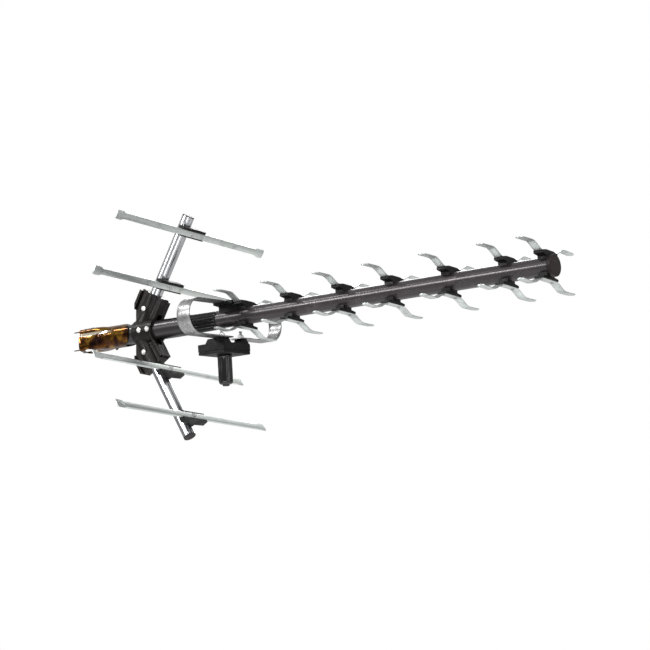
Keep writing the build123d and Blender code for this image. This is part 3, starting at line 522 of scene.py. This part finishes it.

# %% [markdown]
# ## Yellow-passivated zinc
# The clamp is plated in the yellow chromate that shifts from straw through amber and olive to violet
# with its thickness. A thin-film shader could do it, but it doesn't export, so broad noise walks
# through a ramp of violet-brown, brown, amber, straw and olive, and fine streaks from the press scratch
# the gloss. A nearly white stripe at the height of the pressed groove is a painted highlight in the
# colour, fading towards the sleeve's front. The bolt and the wing nut take the same finish with the
# painted highlight's strength at zero.

# %% Clamp finish
# Painted highlight: a near-white stripe in the clamp's colour at the groove's height.
HIGHLIGHT_BAND_LEVEL = 6.4 * MM
HIGHLIGHT_BAND_INSIDE = 1.1 * MM
HIGHLIGHT_BAND_OUTSIDE = 2.1 * MM
HIGHLIGHT_BAND_FADE = (26 * MM, 44 * MM)
PAINTED_HIGHLIGHT_TINT = (0.86, 0.78, 0.62)
FILM_SCALE = 55.0
FILM_DISTORTION = 0.8
FILM_STOPS = ((0.30, (0.014, 0.006, 0.008)), (0.42, (0.034, 0.012, 0.006)), (0.52, (0.085, 0.035, 0.007)),
              (0.62, (0.26, 0.13, 0.018)), (0.72, (0.026, 0.026, 0.007)))
FILM_MARKS = {"Scale": 120.0, "Amount": 0.40}
FILM_MARK_SHARE = 0.7
FILM_MARK_TINT = (0.10, 0.045, 0.020)
PRESS_STREAKS = {"Along": 30.0, "Across": 420.0}
PRESS_ROUGHNESS = (0.20, 0.07)
FILM_BUMP = 0.1
FILM_DEPTH = 0.3 * MM


def make_painted_highlight_band(tree, place, strength):
    """Painted highlight mask = 1 near the groove's height, fading above and below it and towards the sleeve's
    front.
    """
    split = tree.nodes.new("ShaderNodeSeparateXYZ")
    tree.links.new(place, split.inputs["Vector"])
    away = add_math(tree, "ABSOLUTE", add_math(tree, "SUBTRACT", split.outputs["Z"], HIGHLIGHT_BAND_LEVEL))
    near = add_range(tree, away, HIGHLIGHT_BAND_INSIDE, HIGHLIGHT_BAND_OUTSIDE, strength, 0.0)
    return add_math(tree, "MULTIPLY", near, add_range(tree, split.outputs["X"], *HIGHLIGHT_BAND_FADE, 1.0, 0.0))


def make_clamp_finish(name, highlight_strength):
    """Colour = film tints read by broad distorted noise, duller where marks lie, with a pale painted
    highlight along the groove.
    """
    made, tree, shader, place = start_finish(name, {"Metallic": 1.0})
    film = tree.nodes.new("ShaderNodeTexNoise")
    film.inputs["Scale"].default_value = FILM_SCALE
    film.inputs["Detail"].default_value = 2.0
    film.inputs["Distortion"].default_value = FILM_DISTORTION
    tree.links.new(place, film.inputs["Vector"])
    ramp = tree.nodes.new("ShaderNodeValToRGB")
    while len(ramp.color_ramp.elements) < len(FILM_STOPS):
        ramp.color_ramp.elements.new(0.5)
    for element, (stop, tint) in zip(ramp.color_ramp.elements, FILM_STOPS):
        element.position = stop
        element.color = (*tint, 1)
    tree.links.new(film.outputs["Fac"], ramp.inputs["Fac"])
    marks = use_group(tree, marks_group, place, FILM_MARKS)
    faint = add_range(tree, marks["Mask"], 0, 1, 0, FILM_MARK_SHARE)
    color = blend_colors(tree, faint, ramp.outputs["Color"], FILM_MARK_TINT)
    # Painted highlight: the mask whitens the colour along the groove.
    color = blend_colors(tree, make_painted_highlight_band(tree, place, highlight_strength), color, PAINTED_HIGHLIGHT_TINT)
    tree.links.new(color, shader.inputs["Base Color"])
    streaks = use_group(tree, streaks_group, place, PRESS_STREAKS)
    tree.links.new(add_range(tree, streaks["Mask"], 0, 1, *PRESS_ROUGHNESS), shader.inputs["Roughness"])
    tree.links.new(add_bump(tree, film.outputs["Fac"], FILM_BUMP, FILM_DEPTH), shader.inputs["Normal"])
    finishes[name] = made


make_clamp_finish("yellow_zinc", 1.0)
make_clamp_finish("nut_zinc", 0.0)
print("clamp finishes ready")

# %% [markdown]
# ## The circuit board
# The matching board is green glass-fibre. Fine cell noise hints at the weave under the mask.

# %% Board finish
WEAVE_SCALE = 900.0
WEAVE_CUT = (0.1, 0.5)
WEAVE_GREENS = ((0.010, 0.075, 0.024), (0.020, 0.120, 0.040))
BOARD_GRAIN = {"Scale": 1200.0, "Rough Low": 0.3, "Rough High": 0.5}


def make_board_finish():
    """Green mask; cell noise mixes two greens, and grain sets the gloss."""
    made, tree, shader, place = start_finish("board_mask", {"Coat Weight": 0.3, "Coat Roughness": 0.2})
    cells = tree.nodes.new("ShaderNodeTexVoronoi")
    cells.inputs["Scale"].default_value = WEAVE_SCALE
    tree.links.new(place, cells.inputs["Vector"])
    weave = add_range(tree, cells.outputs["Distance"], *WEAVE_CUT, 0, 1)
    tree.links.new(blend_colors(tree, weave, *WEAVE_GREENS), shader.inputs["Base Color"])
    grain = use_group(tree, grain_group, place, BOARD_GRAIN)
    tree.links.new(grain["Roughness"], shader.inputs["Roughness"])
    finishes["board_mask"] = made


make_board_finish()
print("board finish ready, of", len(finishes), "finishes")

# %% [markdown]
# ## Finishes on the frame's own nodes
# Pieces whose shape is right stay as they are and only take a finish. A list of name starts keeps the
# choice in one place; the first start that fits a node wins.

# %% Dress the frame's nodes
NODE_FINISHES = (
    ("front_boom", "front_boom_coat"), ("rear_boom", "rear_boom_coat"), ("boom_coupler", "joiner_plastic"),
    ("front_cap", "cap_plastic"), ("bracket_near", "bracket_plastic"), ("bracket_far", "bracket_plastic"),
    ("bracket_", "bright_zinc"), ("upper_arm", "upper_tube"), ("lower_arm", "lower_tube"),
    ("arm_plugs", "cap_plastic"), ("reflector_clip", "clip_plastic"), ("reflector_rivets", "bright_zinc"),
    ("reflector_", "rolled_strip"), ("director_clips", "clip_plastic"), ("director_rivets", "dull_rivet"),
    ("director_", "director_strip"), ("dipole_loop", "bent_strip"), ("dipole_clip", "clip_plastic"),
    ("dipole_rivet", "dull_rivet"), ("box_gasket", "gasket_rubber_skin"), ("box_", "box_plastic"),
    ("balun_board", "board_mask"), ("balun_core", "ferrite_grain"), ("connector_boot", "boot_rubber_skin"),
    ("f_connector", "bright_zinc"), ("terminal_", "bright_zinc"), ("clamp_bolt", "nut_zinc"),
    ("clamp_", "yellow_zinc"), ("wing_nut", "nut_zinc"),
)


def finish_for(node_name):
    """The finish of the first start that the node's name begins with."""
    return finishes[next(finish for start, finish in NODE_FINISHES if node_name.startswith(start))]


for node_name, node in nodes.items():
    node.data.materials.clear()
    node.data.materials.append(finish_for(node_name))
print("dressed", len(nodes), "nodes")

# %% [markdown]
# ## Surfaces made from grids
# Most new pieces here are a closed outline carried along a line, so their vertices form a grid: one row
# for each place on the line, one column for each point of the outline. One helper turns any such grid
# into a mesh. The columns always close on themselves. The rows either close as well, as in a ring, or
# end in a flat face at each end.

# %% Turn a grid into a piece
SHARP_ANGLE = math.radians(38)
BODY_OF = {node: body for body, held in frame["record"]["behaviour"]["bodies"].items() for node in held}


def add_piece(name, grid, finish, replaced, ring=False):
    """A mesh with quads between neighbouring rows and columns, capped at both ends unless it is a ring."""
    rows, columns = grid.shape[:2]
    index = np.arange(rows * columns).reshape(rows, columns)
    below = index if ring else index[:-1]
    above = np.roll(index, -1, axis=0) if ring else index[1:]
    quads = np.stack([below, np.roll(below, -1, axis=1), np.roll(above, -1, axis=1), above], axis=-1)
    faces = quads.reshape(-1, 4).tolist()
    if not ring:
        faces += [index[0, ::-1].tolist(), index[-1].tolist()]
    mesh = bpy.data.meshes.new(name)
    mesh.from_pydata(grid.reshape(-1, 3).tolist(), [], faces)
    return finish_piece(name, mesh, finish, replaced)


def finish_piece(name, mesh, finish, replaced):
    """Outward normals, smooth shading, a finish, and the body of the node that it stands for, which is
    hidden.
    """
    shape = bmesh.new()
    shape.from_mesh(mesh)
    bmesh.ops.recalc_face_normals(shape, faces=shape.faces)
    shape.to_mesh(mesh)
    shape.free()
    mesh.shade_smooth()
    mesh.set_sharp_from_angle(angle=SHARP_ANGLE)
    piece = bpy.data.objects.new(name, mesh)
    bpy.context.scene.collection.objects.link(piece)
    mesh.materials.append(finishes[finish])
    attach(piece, BODY_OF[replaced])
    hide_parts(replaced)
    return piece


def middle_of(node_name):
    """The centre of a frame node's box, in metres."""
    low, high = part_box(node_name)
    return (np.array(low) + np.array(high)) / 2


# %% [markdown]
# ## Strip outlines
# A rolled strip is never a perfect rectangle: its corners are rounded and its face is slightly hollow,
# which is what darkens its edges in the light. The outline is a list of corner points that remember
# which corner they belong to, so one template serves every width.

# %% The strip template
CORNER_TURNS = np.radians([[-90, -45, 0], [0, 45, 90], [90, 135, 180], [180, 225, 270]])
CORNER_SIDES = np.array([[1, -1], [1, 1], [-1, 1], [-1, -1]])
ACROSS_STEPS = np.array([0.6, 0.2, -0.2, -0.6])


def strip_template():
    """Points round a rectangle: (side, face, corner cosine, corner sine), with extra ones on both faces."""
    rows = []
    for corner, turns in enumerate(CORNER_TURNS):
        side, face = CORNER_SIDES[corner]
        rows += [(side, face, math.cos(turn), math.sin(turn)) for turn in turns]
        if corner == 1:
            rows += [(step, 1, 0, 1) for step in ACROSS_STEPS]
        if corner == 3:
            rows += [(-step, -1, 0, -1) for step in ACROSS_STEPS]
    return np.array(rows)


TEMPLATE = strip_template()


def strip_grid(line, out, across, half_width, half_thick, corner, dish):
    """Point = line + across * a + out * b. a and b walk round the template; dish bends b by a squared."""
    side, face, cosine, sine = TEMPLATE.T
    width = np.broadcast_to(half_width, len(line))[:, None]
    a = side * (width - corner) + corner * cosine
    b = face * (half_thick - corner) + corner * sine + dish * (a / width) ** 2
    return line[:, None, :] + a[:, :, None] * across + b[:, :, None] * out[:, None, :]


def turned_normals(line, across):
    """The direction out of a strip's face: its run direction turned a quarter about the across axis."""
    run = np.gradient(line, axis=0)
    run /= np.linalg.norm(run, axis=1, keepdims=True)
    return np.cross(across, run)


print("template of", len(TEMPLATE), "points")

# %% [markdown]
# ## Director wings
# Each director is a strip bent in a press: flat in its clip, up in an S on each side, and almost level
# towards the tip. Straight segments with rounded corners would show as facets in the highlights. A smooth
# step, whose slope is zero at both ends, gives the S at once, and a small parabola lets the tip sag.
# The tips are rounded by letting the half width follow a quarter ellipse.

# %% Build the fourteen director strips
WING_HALF = 61 * MM
WING_FLAT = 13.5 * MM
WING_SHOULDER = 36 * MM
WING_RISE = 8.2 * MM
WING_SAG = 0.8 * MM
WING_WIDTH = 10 * MM
WING_THICK = 1.0 * MM
WING_LEVEL = 16.1 * MM
WING_TIP = 5 * MM
WING_TIP_LEAST = 0.12
WING_STEPS = 73
WING_TIP_STEPS = 9
WING_CORNER = 0.18 * MM
WING_DISH = 0.35 * MM
X_AXIS = np.array([1.0, 0.0, 0.0])
Y_AXIS = np.array([0.0, 1.0, 0.0])


def wing_height(y):
    """Smooth step from the flat to the shoulder times the rise, less the sag's parabola past it."""
    share = np.clip((np.abs(y) - WING_FLAT) / (WING_SHOULDER - WING_FLAT), 0, 1)
    past = np.clip((np.abs(y) - WING_SHOULDER) / (WING_HALF - WING_SHOULDER), 0, 1)
    return WING_RISE * share ** 2 * (3 - 2 * share) - WING_SAG * past ** 2


def director_grid(station, side):
    """The S curve in the YZ plane at one station, above the boom for side 1 and below it for -1."""
    tip_turn = np.linspace(0, math.pi / 2, WING_TIP_STEPS)[1:]
    tip = WING_HALF - WING_TIP + WING_TIP * np.sin(tip_turn)
    middle = np.linspace(-1, 1, WING_STEPS) * (WING_HALF - WING_TIP)
    y = np.concatenate([-tip[::-1], middle, tip])
    past = np.clip((np.abs(y) - (WING_HALF - WING_TIP)) / WING_TIP, 0, 1)
    half_width = WING_WIDTH / 2 * np.maximum(np.sqrt(1 - past ** 2), WING_TIP_LEAST)
    line = np.stack([np.full_like(y, station), y, side * (WING_LEVEL + wing_height(y))], axis=1)
    out = turned_normals(line, X_AXIS)
    return strip_grid(line, out, X_AXIS, half_width, WING_THICK / 2, WING_CORNER, WING_DISH)


for number in range(1, 8):
    for row, side in (("upper", 1), ("lower", -1)):
        node_name = f"director_{row}_{number}"
        add_piece(f"wing_{row}_{number}", director_grid(middle_of(node_name)[0], side), "director_strip",
                  node_name)
print("14 wings from y", -WING_HALF, "to", WING_HALF)

# %% [markdown]
# ## Reflector elements
# These are roll-formed channels whose ends are pressed flat, so the metal spreads into a paddle. The
# channel's outline has two flanges behind its face. Towards the end the flanges shrink, the face
# widens, and a rounded corner finishes the paddle: three numbers that slide along the element.

# %% Build the four reflector elements
REFLECTOR_HALF = 147 * MM
PADDLE_LENGTH = 10 * MM
PRESS_LENGTH = 7 * MM
CHANNEL_HALF = 4.2 * MM
PADDLE_HALF = 6.0 * MM
CHANNEL_DEPTH = 3.0 * MM
SHEET = 0.9 * MM
EDGE_ROUND = 1.1 * MM
PADDLE_EDGE = 0.4 * MM
PADDLE_DEPTH = 1.1 * SHEET
TIP_ROUND = 2.5 * MM
TIP_NARROWING = 2.2 * MM
FACE_OFFSET = 19.5 * MM
VERTEX_X = 80.75 * MM
ELEMENT_ROWS = (("outer", 147.0 * MM), ("inner", 72.0 * MM))


def channel_outline(half, depth, edge):
    """Outer face with rounded edges, down both flanges and back inside, as (along, forward) points."""
    turns = np.radians([0, 30, 60, 90])
    right = np.stack([(half - edge)[:, None] + edge[:, None] * np.cos(turns),
                      -edge[:, None] + edge[:, None] * np.sin(turns)], axis=-1)
    left = right[:, ::-1] * (-1, 1)
    inner = half - SHEET

    def pair(along, forward):
        """One column of the outline."""
        return np.stack([along, forward], axis=-1)[:, None, :]

    thick = -SHEET * np.ones_like(half)
    return np.concatenate([pair(half, -depth), right, left, pair(-half, -depth), pair(-inner, -depth),
                           pair(-inner, thick), pair(inner, thick), pair(inner, -depth)], axis=1)


def element_grid(place, side):
    """The outline at each y, laid in the plane that leans with the arm."""
    corner = np.linspace(0, math.pi / 2, 6)[1:]
    tip_start = REFLECTOR_HALF - TIP_ROUND
    tip = tip_start + TIP_ROUND * np.sin(corner)
    press = np.linspace(REFLECTOR_HALF - PADDLE_LENGTH - PRESS_LENGTH, tip_start, 16)
    half_line = np.concatenate([np.linspace(0, press[0], 12)[1:-1], press, tip])
    y = np.concatenate([-half_line[::-1], [0], half_line])
    share = np.clip((np.abs(y) - press[0]) / PRESS_LENGTH, 0, 1)
    share = share ** 2 * (3 - 2 * share)
    past = np.clip((np.abs(y) - tip_start) / TIP_ROUND, 0, 1)
    half = CHANNEL_HALF + share * (PADDLE_HALF - CHANNEL_HALF) - TIP_NARROWING * (1 - np.sqrt(1 - past ** 2))
    depth = CHANNEL_DEPTH + share * (PADDLE_DEPTH - CHANNEL_DEPTH)
    edge = EDGE_ROUND + share * (PADDLE_EDGE - EDGE_ROUND)
    outline = channel_outline(half, depth, edge)
    along, forward = place + outline[..., 0], FACE_OFFSET + outline[..., 1]
    x = VERTEX_X + along * math.sin(ARM_LEAN) + forward * math.cos(ARM_LEAN)
    z = along * math.cos(ARM_LEAN) - forward * math.sin(ARM_LEAN)
    return np.stack([x, np.broadcast_to(y[:, None], x.shape), side * z], axis=-1)


for row, place in ELEMENT_ROWS:
    for name, side in (("upper", 1), ("lower", -1)):
        add_piece(f"channel_{name}_{row}", element_grid(place, side), "rolled_strip",
                  f"reflector_{name}_{row}")
print("4 channels, half length", REFLECTOR_HALF)

# %% [markdown]
# ## The folded dipole
# One flat strip runs out from a terminal, round a half circle, back over the boom, round again and in
# to the other terminal. Carried along a line of straights and half circles, the outline keeps its
# width through the bends. The outline is the same strip template, without a dish. The whole loop leans a
# few degrees with its box.

# %% Build the dipole strip
DIPOLE_X = 231.5 * MM
DIPOLE_TOP = 20.1 * MM
DIPOLE_HEIGHT = 46.0 * MM
DIPOLE_HALF = 94 * MM
DIPOLE_THICK = 1.5 * MM
DIPOLE_WIDTH = 20 * MM
DIPOLE_CORNER = 0.3 * MM
FEED_HALF = 8 * MM
GROUP_ROLL = math.radians(4)


def roll_about_boom(points):
    """The same points turned about the boom's axis by the group's roll."""
    turned = points.copy()
    turned[..., 1] = points[..., 1] * math.cos(GROUP_ROLL) - points[..., 2] * math.sin(GROUP_ROLL)
    turned[..., 2] = points[..., 1] * math.sin(GROUP_ROLL) + points[..., 2] * math.cos(GROUP_ROLL)
    return turned


def dipole_line():
    """From the far terminal outwards, round both bends, to the near terminal: y and z of the middle line."""
    bend = (DIPOLE_HEIGHT - DIPOLE_THICK) / 2
    centre_z = DIPOLE_TOP - DIPOLE_HEIGHT / 2
    centre_y = DIPOLE_HALF - DIPOLE_HEIGHT / 2
    out = np.linspace(FEED_HALF, centre_y, 14)[:-1]
    turn = np.linspace(-math.pi / 2, math.pi / 2, 33)
    back = np.linspace(centre_y, -centre_y, 24)[1:-1]
    y = np.concatenate([out, centre_y + bend * np.cos(turn), back, -centre_y - bend * np.cos(turn),
                        -out[::-1]])
    z = np.concatenate([np.full_like(out, -bend), bend * np.sin(turn), np.full_like(back, bend),
                        -bend * np.sin(turn), np.full_like(out, -bend)])
    return np.stack([np.full_like(y, DIPOLE_X), y, centre_z + z], axis=1)


loop_line = dipole_line()
loop_grid = strip_grid(loop_line, turned_normals(loop_line, X_AXIS), X_AXIS, DIPOLE_WIDTH / 2,
                       DIPOLE_THICK / 2, DIPOLE_CORNER, 0.0)
add_piece("dipole_strip", roll_about_boom(loop_grid), "bent_strip", "dipole_loop")
print("dipole line of", len(loop_line), "points")

# %% [markdown]
# ## The ribbed joiner
# Between the two tubes the joiner shows a collar with deep grooves along it. Each groove is a rounded
# dip in the radius, and it fades out before the ends, so that a plain rim meets each tube.

# %% Build the joiner
JOINER_REAR = 167 * MM
JOINER_FRONT = 214.5 * MM
JOINER_OUTER = 12.5 * MM
JOINER_INNER = 7 * MM
JOINER_RIM = 2.5 * MM
JOINER_GROOVES = 18
JOINER_GROOVE_DEPTH = 2.6 * MM
JOINER_TAPER = 0.6 * MM
JOINER_STATIONS = 26
POINTS_PER_GROOVE = 10
RIM_START = 0.4
GROOVE_FLATNESS = 0.7


def joiner_grid():
    """Outer radius = a slow taper less a groove, a raised cosine to a power, faded near both rims."""
    x = np.linspace(JOINER_REAR, JOINER_FRONT, JOINER_STATIONS)
    columns = JOINER_GROOVES * POINTS_PER_GROOVE
    angle = np.arange(columns) / columns * TURN
    fade = np.clip(np.minimum(x - JOINER_REAR, JOINER_FRONT - x) / JOINER_RIM - RIM_START, 0, 1)
    dip = (0.5 + 0.5 * np.cos(JOINER_GROOVES * angle)) ** GROOVE_FLATNESS
    outer = JOINER_OUTER - JOINER_TAPER * (x - JOINER_REAR) / (JOINER_FRONT - JOINER_REAR)
    outer = outer[None, :] - JOINER_GROOVE_DEPTH * fade[None, :] * dip[:, None]
    radius = np.concatenate([outer, np.full_like(outer, JOINER_INNER)], axis=1)
    along = np.broadcast_to(np.concatenate([x, x[::-1]]), radius.shape)
    return np.stack([along, radius * np.cos(angle)[:, None], radius * np.sin(angle)[:, None]], axis=-1)


add_piece("joiner", joiner_grid(), "joiner_plastic", "boom_coupler", ring=True)
print("joiner with", JOINER_GROOVES, "grooves")

# %% [markdown]
# ## The rubber boot
# The boot is a turned shape with grip flutes. Its outline is a closed loop of radius and height that
# goes down the outside, over the nose and up the hollow, and a cosine round the axis presses the
# flutes into the outer side only.

# %% Build the boot
BOOT_TOP = -45.7 * MM
BOOT_TURN_STEPS = 96
FLUTES = 12
FLUTE_DEPTH = 0.55 * MM
BOOT_X = 219 * MM
# Each row is a radius, a height below the top and the flutes' share there, in millimetres.
BOOT_OUTLINE = np.array([
    (8.2, 0.0, 0), (9.2, 0.0, 0), (9.4, -0.3, 0), (9.4, -2.2, 0), (9.2, -2.6, 0), (9.2, -3.4, 1),
    (9.2, -10, 1), (9.2, -18, 1), (9.2, -26, 1), (9.2, -32, 1), (9.1, -33.5, 0.6), (8.6, -35.2, 0.2),
    (7.6, -36.4, 0),
    (6.2, -37, 0), (4.7, -37.1, 0), (4.5, -37.4, 0), (4.4, -38.6, 0), (4.1, -39, 0), (3.5, -39, 0),
    (3.3, -38.7, 0), (3.3, -22.2, 0), (3.5, -22, 0), (6.5, -22, 0), (6.65, -21.8, 0), (6.65, -0.4, 0),
    (6.9, -0.1, 0)])


def boot_grid():
    """Radius = outline less the flute's depth times a quarter of the square of one plus the cosine."""
    angle = np.arange(BOOT_TURN_STEPS) / BOOT_TURN_STEPS * TURN
    radius, height, fluted = (BOOT_OUTLINE * (MM, MM, 1)).T
    press = (1 + np.cos(FLUTES * angle)) ** 2 / 4
    r = radius[None, :] - FLUTE_DEPTH * fluted[None, :] * press[:, None]
    x = BOOT_X + r * np.cos(angle)[:, None]
    y = r * np.sin(angle)[:, None]
    return np.stack([x, y, np.broadcast_to(BOOT_TOP + height, x.shape)], axis=-1)


add_piece("boot", roll_about_boom(boot_grid()), "boot_rubber_skin", "connector_boot", ring=True)
print("boot with", FLUTES, "flutes")

# %% [markdown]
# ## The pressed mast clamp
# The clamp is two pressed sheets. In front each is half a round sleeve on the boom; behind, it flattens
# into a wall beside the mast, so the section slides from a half circle to a squarer curve. A groove
# pressed along the upper part stiffens it and catches a bright line of light, strengthened by a painted
# highlight in its finish, and the edges beside the mast are cut into teeth. All of that is one function
# of the place along the clamp and the turn round it. Two flat tongues run on behind each sheet.

# %% Build the clamp shells
CLAMP_REAR = -14 * MM
CLAMP_FRONT = 57 * MM
CLAMP_APRON = 15 * MM
TONGUE_END = -27 * MM
TONGUE_SIDE = 9.0 * MM
TONGUE_HALF = 2.0 * MM
TONGUE_OVERLAP = 2 * MM
TONGUE_TAPER = 0.55
TONGUE_HALF_THICK = 0.5 * MM
TONGUE_CORNER = 0.2 * MM
TONGUE_LEVEL = 12.2 * MM
CLAMP_OUTER = 15.08 * MM
CLAMP_SHEET = 1.6 * MM
MAST_GAP_R = 12.7 * MM
PARTING = 0.7 * MM
TOOTH_PITCH = 2.6 * MM
TOOTH_HEIGHT = 0.9 * MM
TOOTHED_OPENING = 4 * MM
TOOTHED_EDGE = 0.93
WALL_END = 12 * MM
SLEEVE_START = 34 * MM
SQUARENESS = 1.6
EDGE_CLEARANCE = 0.98
CLAMP_STATIONS = 140
CLAMP_COLUMNS = 72
GROOVE_LEVEL = 6.0 * MM
GROOVE_HALF = 3.8 * MM
GROOVE_DEPTH = 2.4 * MM
GROOVE_POWER = 0.8
GROOVE_REAR = (-14 * MM, -10 * MM)
GROOVE_FRONT = (34 * MM, 48 * MM)


def smooth_step(value, start, end):
    """0 before start, 1 after end, and a cubic between them."""
    share = np.clip((value - start) / (end - start), 0, 1)
    return share ** 2 * (3 - 2 * share)


def clamp_skin(x, share, inset):
    """A skin of the shell: y = R cos(turn)^power less a groove, z = R sin(turn)^power plus teeth.

    The share runs from -1 at the lower edge to 1 at the upper one, and inset thins the radius R.
    """
    flat = 1 - smooth_step(x, WALL_END, SLEEVE_START)
    power = 1 / (1 + SQUARENESS * flat)
    opening = np.sqrt(np.maximum(MAST_GAP_R ** 2 - x ** 2, 0))
    teeth = TOOTH_HEIGHT * np.abs((x / TOOTH_PITCH) % 1 - 0.5) * 2 * (opening > TOOTHED_OPENING)
    edge = np.maximum(opening * EDGE_CLEARANCE, PARTING)
    reach = np.arccos(np.clip(edge / CLAMP_OUTER, 0, 1) ** (1 / power))
    turn = reach * share
    radius = CLAMP_OUTER - inset
    y = radius * np.abs(np.cos(turn)) ** power
    height = radius * np.sign(turn) * np.abs(np.sin(turn)) ** power
    groove = np.clip(1 - ((height - GROOVE_LEVEL) / GROOVE_HALF) ** 2, 0, 1) ** GROOVE_POWER
    groove *= smooth_step(x, *GROOVE_REAR) * (1 - smooth_step(x, *GROOVE_FRONT))
    toothed = height + teeth * np.clip((np.abs(share) - TOOTHED_EDGE) / (1 - TOOTHED_EDGE), 0, 1)
    return np.stack([x, GROOVE_DEPTH * groove - y, toothed], axis=-1)


def clamp_grid(side):
    """Rows along the boom; columns go up the outer skin and down the inner one."""
    share = np.linspace(-1, 1, CLAMP_COLUMNS)[None, :]
    front = CLAMP_FRONT + CLAMP_APRON * np.cos(share * math.pi / 2)
    x = CLAMP_REAR + (front - CLAMP_REAR) * np.linspace(0, 1, CLAMP_STATIONS)[:, None]
    outer = clamp_skin(x + 0 * share, share + 0 * x, 0)
    inner = clamp_skin(x + 0 * share, share + 0 * x, CLAMP_SHEET)[:, ::-1]
    return np.concatenate([outer, inner], axis=1) * (1, side, 1)


def tongue_grid(side, level):
    """A flat tongue behind the sheet, narrowing to its end. The level is 1 above and -1 below."""
    x = np.linspace(CLAMP_REAR + TONGUE_OVERLAP, TONGUE_END, 8)
    line = np.stack([x, np.full_like(x, -side * TONGUE_SIDE), np.full_like(x, level * TONGUE_LEVEL)], axis=1)
    out = np.tile([0.0, 0.0, 1.0], (len(x), 1))
    half_width = np.linspace(TONGUE_HALF, TONGUE_HALF * TONGUE_TAPER, len(x))
    return strip_grid(line, out, Y_AXIS, half_width, TONGUE_HALF_THICK, TONGUE_CORNER, 0.0)


for half, side in (("near", 1), ("far", -1)):
    add_piece(f"clamp_{half}_sheet", clamp_grid(side), "yellow_zinc", f"clamp_{half}_shell")
    for edge, level in (("upper", 1), ("lower", -1)):
        add_piece(f"clamp_{half}_{edge}_tongue", tongue_grid(side, level), "yellow_zinc",
                  f"clamp_{half}_shell")
print("two clamp sheets from", CLAMP_REAR, "to", CLAMP_FRONT + CLAMP_APRON)

# %% [markdown]
# ## Softer edges on moulded pieces
# Moulded plastic has no knife edges. A copy of each moulded node, merged so that its faces share their
# corners, takes a Bevel modifier: a thin rounded edge that catches the light. The frame's own node stays
# untouched, and the copy stands in for it.

# %% Soften the moulded pieces
SOFT_NODES = [("bracket_near_half", 0.7), ("bracket_far_half", 0.7), ("box_base", 0.8), ("box_lid", 0.8),
              ("front_cap", 0.9), ("dipole_clip", 0.6)]
SOFT_NODES += [(f"director_clips_{number}", 0.55) for number in range(1, 8)]
SOFT_NODES += [(f"reflector_clip_{name}_{row}", 0.7) for name in ("upper", "lower")
               for row in ("outer", "inner")]
MERGE_DISTANCE = 0.00001
FLAT_ANGLE = math.radians(1)


def soften(node_name, width):
    """A merged copy of a node with a two-segment bevel on its sharp edges."""
    source = nodes[node_name]
    shape = bmesh.new()
    shape.from_mesh(source.data)
    bmesh.ops.remove_doubles(shape, verts=shape.verts, dist=MERGE_DISTANCE)
    bmesh.ops.dissolve_limit(shape, angle_limit=FLAT_ANGLE, verts=shape.verts, edges=shape.edges)
    mesh = bpy.data.meshes.new(f"soft_{node_name}")
    shape.to_mesh(mesh)
    shape.free()
    piece = finish_piece(f"soft_{node_name}", mesh, source.data.materials[0].name, node_name)
    bevel = piece.modifiers.new("edges", "BEVEL")
    bevel.width = width * MM
    bevel.segments = 2
    bevel.limit_method = "ANGLE"
    bevel.angle_limit = SHARP_ANGLE
    bevel.harden_normals = True
    return piece


for node_name, width in SOFT_NODES:
    soften(node_name, width)
print("softened", len(SOFT_NODES), "nodes")
